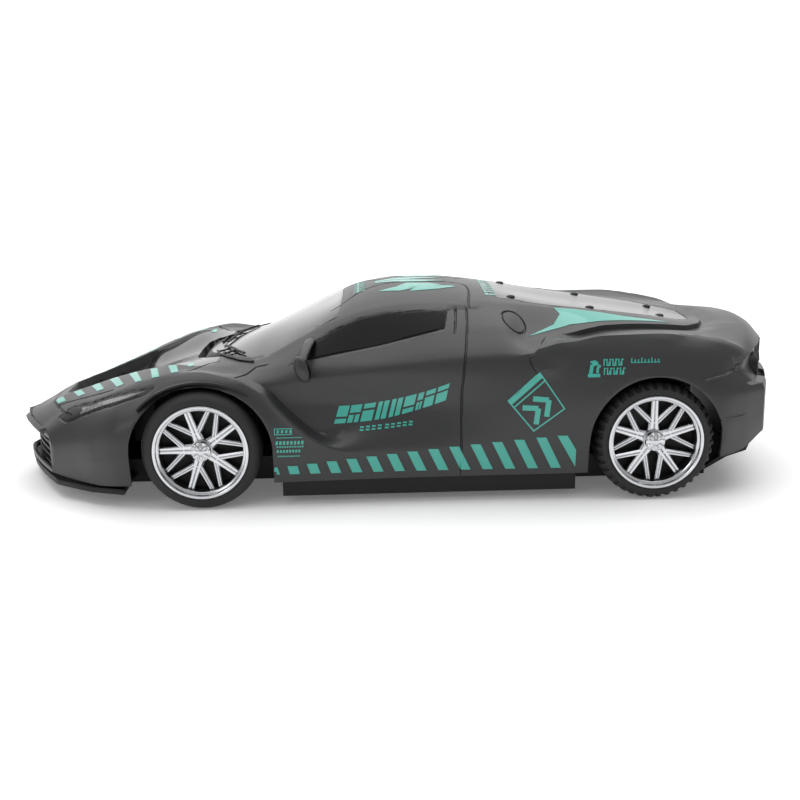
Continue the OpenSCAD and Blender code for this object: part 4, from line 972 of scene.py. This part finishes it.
def mirror_stalk(bm, side):
    """A flat stalk that grows out of the body and bends down into the pod."""
    foot = BODY_TREE.ray_cast(Vector((-30 * MM, side * 0.2, 58.2 * MM)), Vector((0, -side, 0)))[0]
    root = abs(foot.y) / MM
    path = [(-30.0, root - 0.8, 58.0, 2.0), (-30.3, root + 2.5, 58.3, 1.8),
            (-31.0, root * 0.6 + 23.0, 57.4, 1.7), (-32.2, root * 0.25 + 43.2, 55.2, 1.6),
            (-32.8, 57.0, 52.2, 1.5)]
    rings = []
    for x, y, z, half in path:
        rings.append([vert(bm, x + half * cos(pi * i / 8), side * y,
                           z + 0.9 * sin(pi * i / 8)) for i in range(16)])
    bridge(bm, rings, capped=True)


def mirror(side, tag):
    """A pod on a stalk, with a dark glass that looks back."""
    bm = bmesh.new()
    mirror_pod(bm, side)
    mirror_stalk(bm, side)
    bmesh.ops.recalc_face_normals(bm, faces=bm.faces)
    for f in bm.faces:
        high = f.calc_center_median().z / MM - MIRROR_Z
        f.material_index = int(f.normal.x > 0.75 and abs(high) < 4)
    piece(f"mirror_pod_{tag}", bm, ["shell", "window"], "shell_plastic", [f"mirror_{tag}"])


def hood_slats():
    """Two slats across the hollow in the hood."""
    bm = bmesh.new()
    for x0, half in ((-121.5, 11.4), (-112.5, 13.4)):
        top = surface_below(x0, 0)
        slat = [(x0 - 1.7, top + 1.2), (x0 - 0.9, top + 1.9), (x0 + 1.9, top + 2.9),
                (x0 + 2.0, top + 2.2), (x0 - 0.6, top + 1.0)]
        extrude_outline(bm, slat, 2 * half, lambda u, v, w, h=half: (u, w - h, v), bevel=0.25)
    piece("hood_slats", bm, "gloss", "shell_plastic")


for build in (splitter, grille, diffuser, exhausts, tail_lamps, cover_screws):
    build()
for side, tag in SIDES:
    mirror(side, tag)


# ---- decals
def cut_in_squares(bm, pitch):
    """Cuts a flat mesh along a grid, so that it can follow a curved surface."""
    for axis in (0, 1):
        lo = min(v.co[axis] for v in bm.verts) / MM
        hi = max(v.co[axis] for v in bm.verts) / MM
        for k in range(1, int((hi - lo) / pitch) + 1):
            at, normal = [0, 0, 0], [0, 0, 0]
            at[axis], normal[axis] = (lo + k * pitch) * MM, 1
            bmesh.ops.bisect_plane(bm, geom=bm.verts[:] + bm.edges[:] + bm.faces[:],
                                   plane_co=at, plane_no=normal, dist=1e-6)


def decal(name, shapes, way, side, lift=0.07, pitch=1.2, finish=("teal", "decal_teal"),
          thick=0.06):
    """Flat outlines in mm laid on the body from the side or from the top."""
    bm = bmesh.new()
    for points in shapes:
        bm.faces.new([bm.verts.new((u * MM, v * MM, 0)) for u, v in points])
    bmesh.ops.triangulate(bm, faces=bm.faces)
    cut_in_squares(bm, pitch)
    out = Vector((0, side, 0)) if way == "side" else Vector((0, 0, 1))
    lost = []
    for v in bm.verts:
        u, w = v.co.x, v.co.y
        start = Vector((u, side * 0.2, w)) if way == "side" else Vector((u, side * w, 0.3))
        place, normal = BODY_TREE.ray_cast(start, -out)[:2]
        if place is None:
            lost.append(v)
        else:
            v.co = place + normal * lift * MM
    bmesh.ops.delete(bm, geom=lost, context="VERTS")
    bm.normal_update()
    bmesh.ops.reverse_faces(bm, faces=[f for f in bm.faces if f.normal.dot(out) < 0])
    piece(name, bm, *finish, thick=-thick, closed=False)


def bar(a, b, t, longer=0.0):
    """Outline of a straight bar of width t, longer by so much at both ends."""
    a, b = Vector(a), Vector(b)
    u = (b - a).normalized()
    w = Vector((-u.y, u.x)) * (t / 2)
    a, b = a - u * longer, b + u * longer
    return [tuple(a - w), tuple(b - w), tuple(b + w), tuple(a + w)]


def framed(outline, t):
    """Thin bars along the edges of an outline."""
    return [bar(a, b, t, t / 2) for a, b in zip(outline, outline[1:] + outline[:1])]


def stroke(points, t):
    """A bent bar of width t through the points."""
    return [bar(a, b, t) for a, b in zip(points[:-1], points[1:])]


def patch(place, u0, v0, u1, v1):
    """A rectangle given in shares, laid out by place."""
    return [place(u0, v0), place(u1, v0), place(u1, v1), place(u0, v1)]


def sill_stripes():
    """Slanted bars that grow taller towards the rear."""
    z, wide = 12.8, 3.6
    out = [[(-44.3, z), (-42.0, z), (-42.7, 15.7), (-43.7, 15.7)]]
    for k in range(13):
        low, high = -38.4 + 7.4 * k + 0.04 * k * k, -39.1 + 6.93 * k + 0.044 * k * k
        top = 16.1 + 0.725 * k
        out.append([(low, z), (low + wide, z), (high + wide, top), (high, top)])
    return out + [[(64.9, 13.1), (64.9, 19.8), (61.6, 25.4), (58.0, 25.4)]]


def box_mark():
    """A slanted frame that holds two lines and two arrowheads."""
    a, b, c, d = (Vector(q) for q in ((40.4, 38.3), (51.5, 48.4), (60.3, 35.4), (49.5, 27.3)))

    def place(u, v):
        return tuple((a * (1 - u) + b * u) * (1 - v) + (d * (1 - u) + c * u) * v)
    out = framed([tuple(a), tuple(b), tuple(c), tuple(d)], 0.5)
    out += [patch(place, 0, 0, 1, 0.13), patch(place, 0, 0.2, 1, 0.235)]
    for u0 in (0.16, 0.5):
        out += stroke([place(u0, 0.36), place(u0 + 0.3, 0.62), place(u0, 0.9)], 1.9)
    return out


# Blocks with slits, each as rectangles in shares of the block
PATTERNS = [
    [(0, 0, 1, 0.26), (0, 0.38, 1, 1)],
    [(0, 0, 0.4, 1), (0.54, 0, 1, 1)],
    [(0, 0, 1, 0.6), (0, 0.72, 1, 1)],
    [(0, 0, 0.46, 0.44), (0.6, 0, 1, 0.44), (0, 0.56, 1, 1)],
]
BLOCKS = [(0.0, 0.10), (0.115, 0.10), (0.235, 0.105), (0.365, 0.10), (0.49, 0.10), (0.61, 0.10),
          (0.73, 0.05), (0.80, 0.085), (0.905, 0.10)]


def door_marks():
    """A rising row of slanted blocks, and pairs of dashes under it."""
    def place(u, v):
        x0, z0 = -22.1 + 40.2 * u, 29.8 + 0.4 * u + 8.1 * u * u
        x1, z1 = -20.1 + 39.6 * u, 36.1 + 1.0 * u + 7.6 * u * u
        return (x0 * (1 - v) + x1 * v, z0 * (1 - v) + z1 * v)
    out = []
    for k, (u0, wide) in enumerate(BLOCKS):
        out += [patch(place, u0 + wide * a0, b0, u0 + wide * a1, b1)
                for a0, b0, a1, b1 in PATTERNS[(k * 3 + k // 4) % 4]]
    for k in range(9):
        x0, z0 = -12.9 + 19.3 * k / 9 + (0.5 if k > 3 else 0), 27.4 + 2.2 * k / 9
        out += [quad(x0, x0 + 1.4, z0, z0 + 0.55, 0.1),
                quad(x0 + 0.2, x0 + 1.6, z0 + 0.95, z0 + 1.5, 0.1)]
    return out


def wing_marks():
    """A small frame with four ticks in it, above a line and four rows of ticks."""
    out = framed([(-43.2, 27.9), (-37.2, 27.9), (-37.2, 30.0), (-43.2, 30.0)], 0.3)
    out += [quad(-42.5 + 1.5 * k, -41.7 + 1.5 * k, 28.4, 29.5, 0.2) for k in range(4)]
    out.append(quad(-42.7, -33.5, 26.6, 26.85))
    for x0, x1, z0, z1, step in ((-43, -33.2, 24.2, 25.5, 1.3), (-42.7, -33.2, 23.1, 23.7, 0.9),
                                 (-42.7, -34.2, 21.3, 22.3, 1.1), (-42.4, -34.2, 19.7, 20.2, 0.8)):
        while x0 < x1 - step * 0.5:
            out.append(quad(x0, x0 + step * 0.62, z0, z1, 0.15))
            x0 += step
    return out


def quarter_marks():
    """A hooked emblem, two rows of hooked bars and a finer row of ticks."""
    out = stroke([(68.6, 47.0), (73.0, 47.0)], 1.2)
    out += stroke([(69.6, 47.6), (70.2, 50.8), (72.4, 51.2)], 1.3)
    out += stroke([(72.0, 47.8), (72.2, 49.8), (73.2, 50.4)], 0.9)
    out.append(bar((69.6, 51.6), (71.6, 52.0), 0.6))
    for long, z0, z1 in ((7.4, 50.2, 52.6), (8.0, 47.2, 49.6)):
        for k in range(7):
            u = 74.4 + long * k / 7
            out.append(bar((u, z0), (u + 0.15, z1), 0.42))
            if k % 2 == 0:
                out.append(bar((u, z1 - 0.2), (u + 0.8, z1 - 0.3), 0.4))
            else:
                out.append(bar((u, z0 + 0.2), (u + 0.8, z0 + 0.2), 0.4))
                out.append(bar((u + 0.75, z0), (u + 0.8, z0 + 1.3), 0.4))
    for k in range(9):
        u = 84.2 + 1.2 * k
        out.append(bar((u, 51.0), (u + 0.3, 52.2 if k % 3 else 52.7), 0.36))
        out.append(bar((u, 51.1), (u + 0.8, 51.2), 0.34))
    return out


QUARTER_BLADE = [(49.5, 44.7), (60, 36.5), (63.3, 30.2), (61.3, 26.4), (69.2, 24.8), (79.6, 25),
                 (89.1, 26.1), (98.6, 26.4), (106.1, 26.9), (88.1, 30.8), (75.4, 33.9),
                 (66.2, 35.8), (58.4, 39.8)]
HOOD_BLOCKS = [
    [(-132.8, 12.9), (-129.7, 13.1), (-126.8, 20.4), (-130.1, 19.1)],
    [(-125.5, 12.9), (-122.6, 13.2), (-118.5, 22.5), (-121.4, 22.1)],
    [(-118, 14), (-114.6, 15), (-110, 27.7), (-112.8, 26.9)],
    [(-110.3, 16.2), (-106.8, 17.4), (-101, 34), (-103.8, 33.3)],
    [(-101.7, 20.6), (-98.3, 22.5), (-92.7, 41.4), (-95.3, 39.8)],
    [(-91.7, 28.7), (-88.5, 31.7), (-85.5, 44.9), (-88.5, 43.1)],
    [(-83.9, 34.5), (-80.6, 35.6), (-78.3, 45.9), (-80.9, 45.5)],
    [(-77.3, 33.4), (-74.4, 31.6), (-74.1, 36.5), (-75.4, 38.9)],
]


def roof_marks():
    """Three swept shapes between two rows of hooks."""
    out = [
        [(-5.1, 18.6), (2.1, 14.9), (6.4, 8.6), (14.9, 9.5), (20.1, 12.9), (8.3, 13.9),
         (3.4, 21.1)],
        [(7, 22), (10, 15.8), (24, 13.3), (25, 14.8), (18.2, 19.1)],
        [(-6.4, 2.4), (4.1, 5.7), (13.6, 5.7), (21.7, 4.3), (6.7, 0.4), (-5.6, 0.4)],
    ]
    for y in (1.0 + 3.4 * k for k in range(4)):
        out += [[(-14.4, y), (-10.2, y - 0.4), (-9.8, y + 0.8), (-14.2, y + 1.2)],
                quad(-13.0, -12.2, y + 1.2, y + 2.4)]
    for y in (1.2 + 4.4 * k for k in range(5)):
        out += [quad(35.8, 40.6, y, y + 1.3), quad(35.8, 37.1, y + 1.3, y + 2.9)]
    return out


# name: outlines, where they are laid from, and the pitch of the grid that they are cut along
DECALS = {
    "sill_stripes": (sill_stripes(), "side", 1.2),
    "box_mark": (box_mark(), "side", 2.0),
    "door_marks": (door_marks(), "side", 2.0),
    "wing_marks": (wing_marks(), "side", 3.0),
    "quarter_marks": (quarter_marks(), "side", 3.0),
    "quarter_blade": ([QUARTER_BLADE], "top", 1.2),
    "hood_blocks": (HOOD_BLOCKS, "top", 1.2),
    "roof_marks": (roof_marks(), "top", 1.2),
}
for side, tag in SIDES:
    for name, (shapes, way, pitch) in DECALS.items():
        decal(f"{name}_{tag}", shapes, way, side, pitch=pitch)

# black edge under the windscreen, and a wiper on each side
BLACK = ("black", "black_plastic")
COWL = [(-68.6, 9), (-67.4, 16), (-65.4, 22), (-61.6, 29), (-57.2, 34.6), (-51.6, 39.8)]
for side, tag in SIDES:
    decal(f"cowl_edge_{tag}", stroke(COWL, 0.9), "top", side, lift=0.1, finish=BLACK, thick=0.5)
    wiper = stroke([(-65.5, 6 if side < 0 else 2), (-62.5, 14), (-58.6, 24), (-55.6, 29.5)], 0.8)
    wiper += stroke([(-67, 16), (-62.2, 15)], 1.2) + stroke([(-64.8, 23), (-59.4, 22)], 1.0)
    decal(f"wiper_{tag}", wiper, "top", side, lift=0.5, finish=BLACK, thick=0.6)
hood_slats()

# ---- the rest of the frame
for part in frame["record"]["subparts"]:
    node = frame["nodes"].get(part["node"])
    if node is not None:
        slot = part["material_slot"]
        node.data.materials.clear()
        node.data.materials.append(M[LOOK_OF_SLOT.get(slot, slot)])


# ---- floor, light, camera
def lit_sheet(name, grey, rough, spec, glow, **place):
    """A large matt sheet of the studio that shines a little by itself."""
    look = material(name, (grey, grey, grey), rough, bump=0.0, spec=spec)
    surface = look.node_tree.nodes["Principled BSDF"]
    surface.inputs["Emission Color"].default_value = (1, 1, 1, 1)
    surface.inputs["Emission Strength"].default_value = glow
    bpy.ops.mesh.primitive_plane_add(size=6, **place)
    sheet = bpy.context.object
    sheet.data.materials.append(look)
    return sheet


def area_light(name, at, aim, size, power):
    data = bpy.data.lights.new(name, "AREA")
    data.shape = "RECTANGLE"
    data.size, data.size_y = size
    data.energy = power
    lamp = bpy.data.objects.new(name, data)
    bpy.context.scene.collection.objects.link(lamp)
    lamp.location = at
    lamp.rotation_euler = (Vector(aim) - Vector(at)).to_track_quat("-Z", "Y").to_euler()


def camera_place(at, yaw, pitch, roll):
    """Matrix of a camera at a place in mm, turned right of +y, then down, then about its view."""
    look = Vector((sin(yaw) * cos(pitch), cos(yaw) * cos(pitch), -sin(pitch)))
    right = Vector((cos(yaw), -sin(yaw), 0))
    up = right.cross(look)
    right, up = cos(roll) * right + sin(roll) * up, -sin(roll) * right + cos(roll) * up
    turn = Matrix((right, up, -look)).transposed().to_4x4()
    return Matrix.Translation(Vector(at) * MM) @ turn


floor = lit_sheet("paper", 0.93, 0.8, 0.2, 0.12, location=(0, 0, 0))
floor.name = "floor"
wall = lit_sheet("screen", 0.9, 0.9, 0.0, 0.75, location=(0, 3, 2.9), rotation=(pi / 2, 0, 0))
wall.name = "backdrop"

world = bpy.data.worlds.new("studio")
bpy.context.scene.world = world
world.use_nodes = True
sky = world.node_tree.nodes["Background"].inputs
sky["Color"].default_value = (1, 1, 1, 1)
sky["Strength"].default_value = 0.45
area_light("overhead", (0.0, 0.25, 1.5), (0, 0.1, 0), (2.4, 1.8), 26.0)
area_light("front_left", (-0.9, -0.9, 0.7), (0, 0, 0.03), (0.5, 0.5), 2.0)

lens = bpy.data.cameras.new("camera")
lens.lens, lens.sensor_width = 51.4, 36.0
lens.clip_start, lens.clip_end = 0.01, 20
lens.dof.use_dof = False
camera = bpy.data.objects.new("camera", lens)
bpy.context.scene.collection.objects.link(camera)
camera.matrix_world = camera_place((-8.13, -453.75, 137.66), radians(1.441),
                                   radians(13.978), radians(-0.979))
bpy.context.scene.camera = camera
bpy.context.scene.view_settings.view_transform = "Standard"
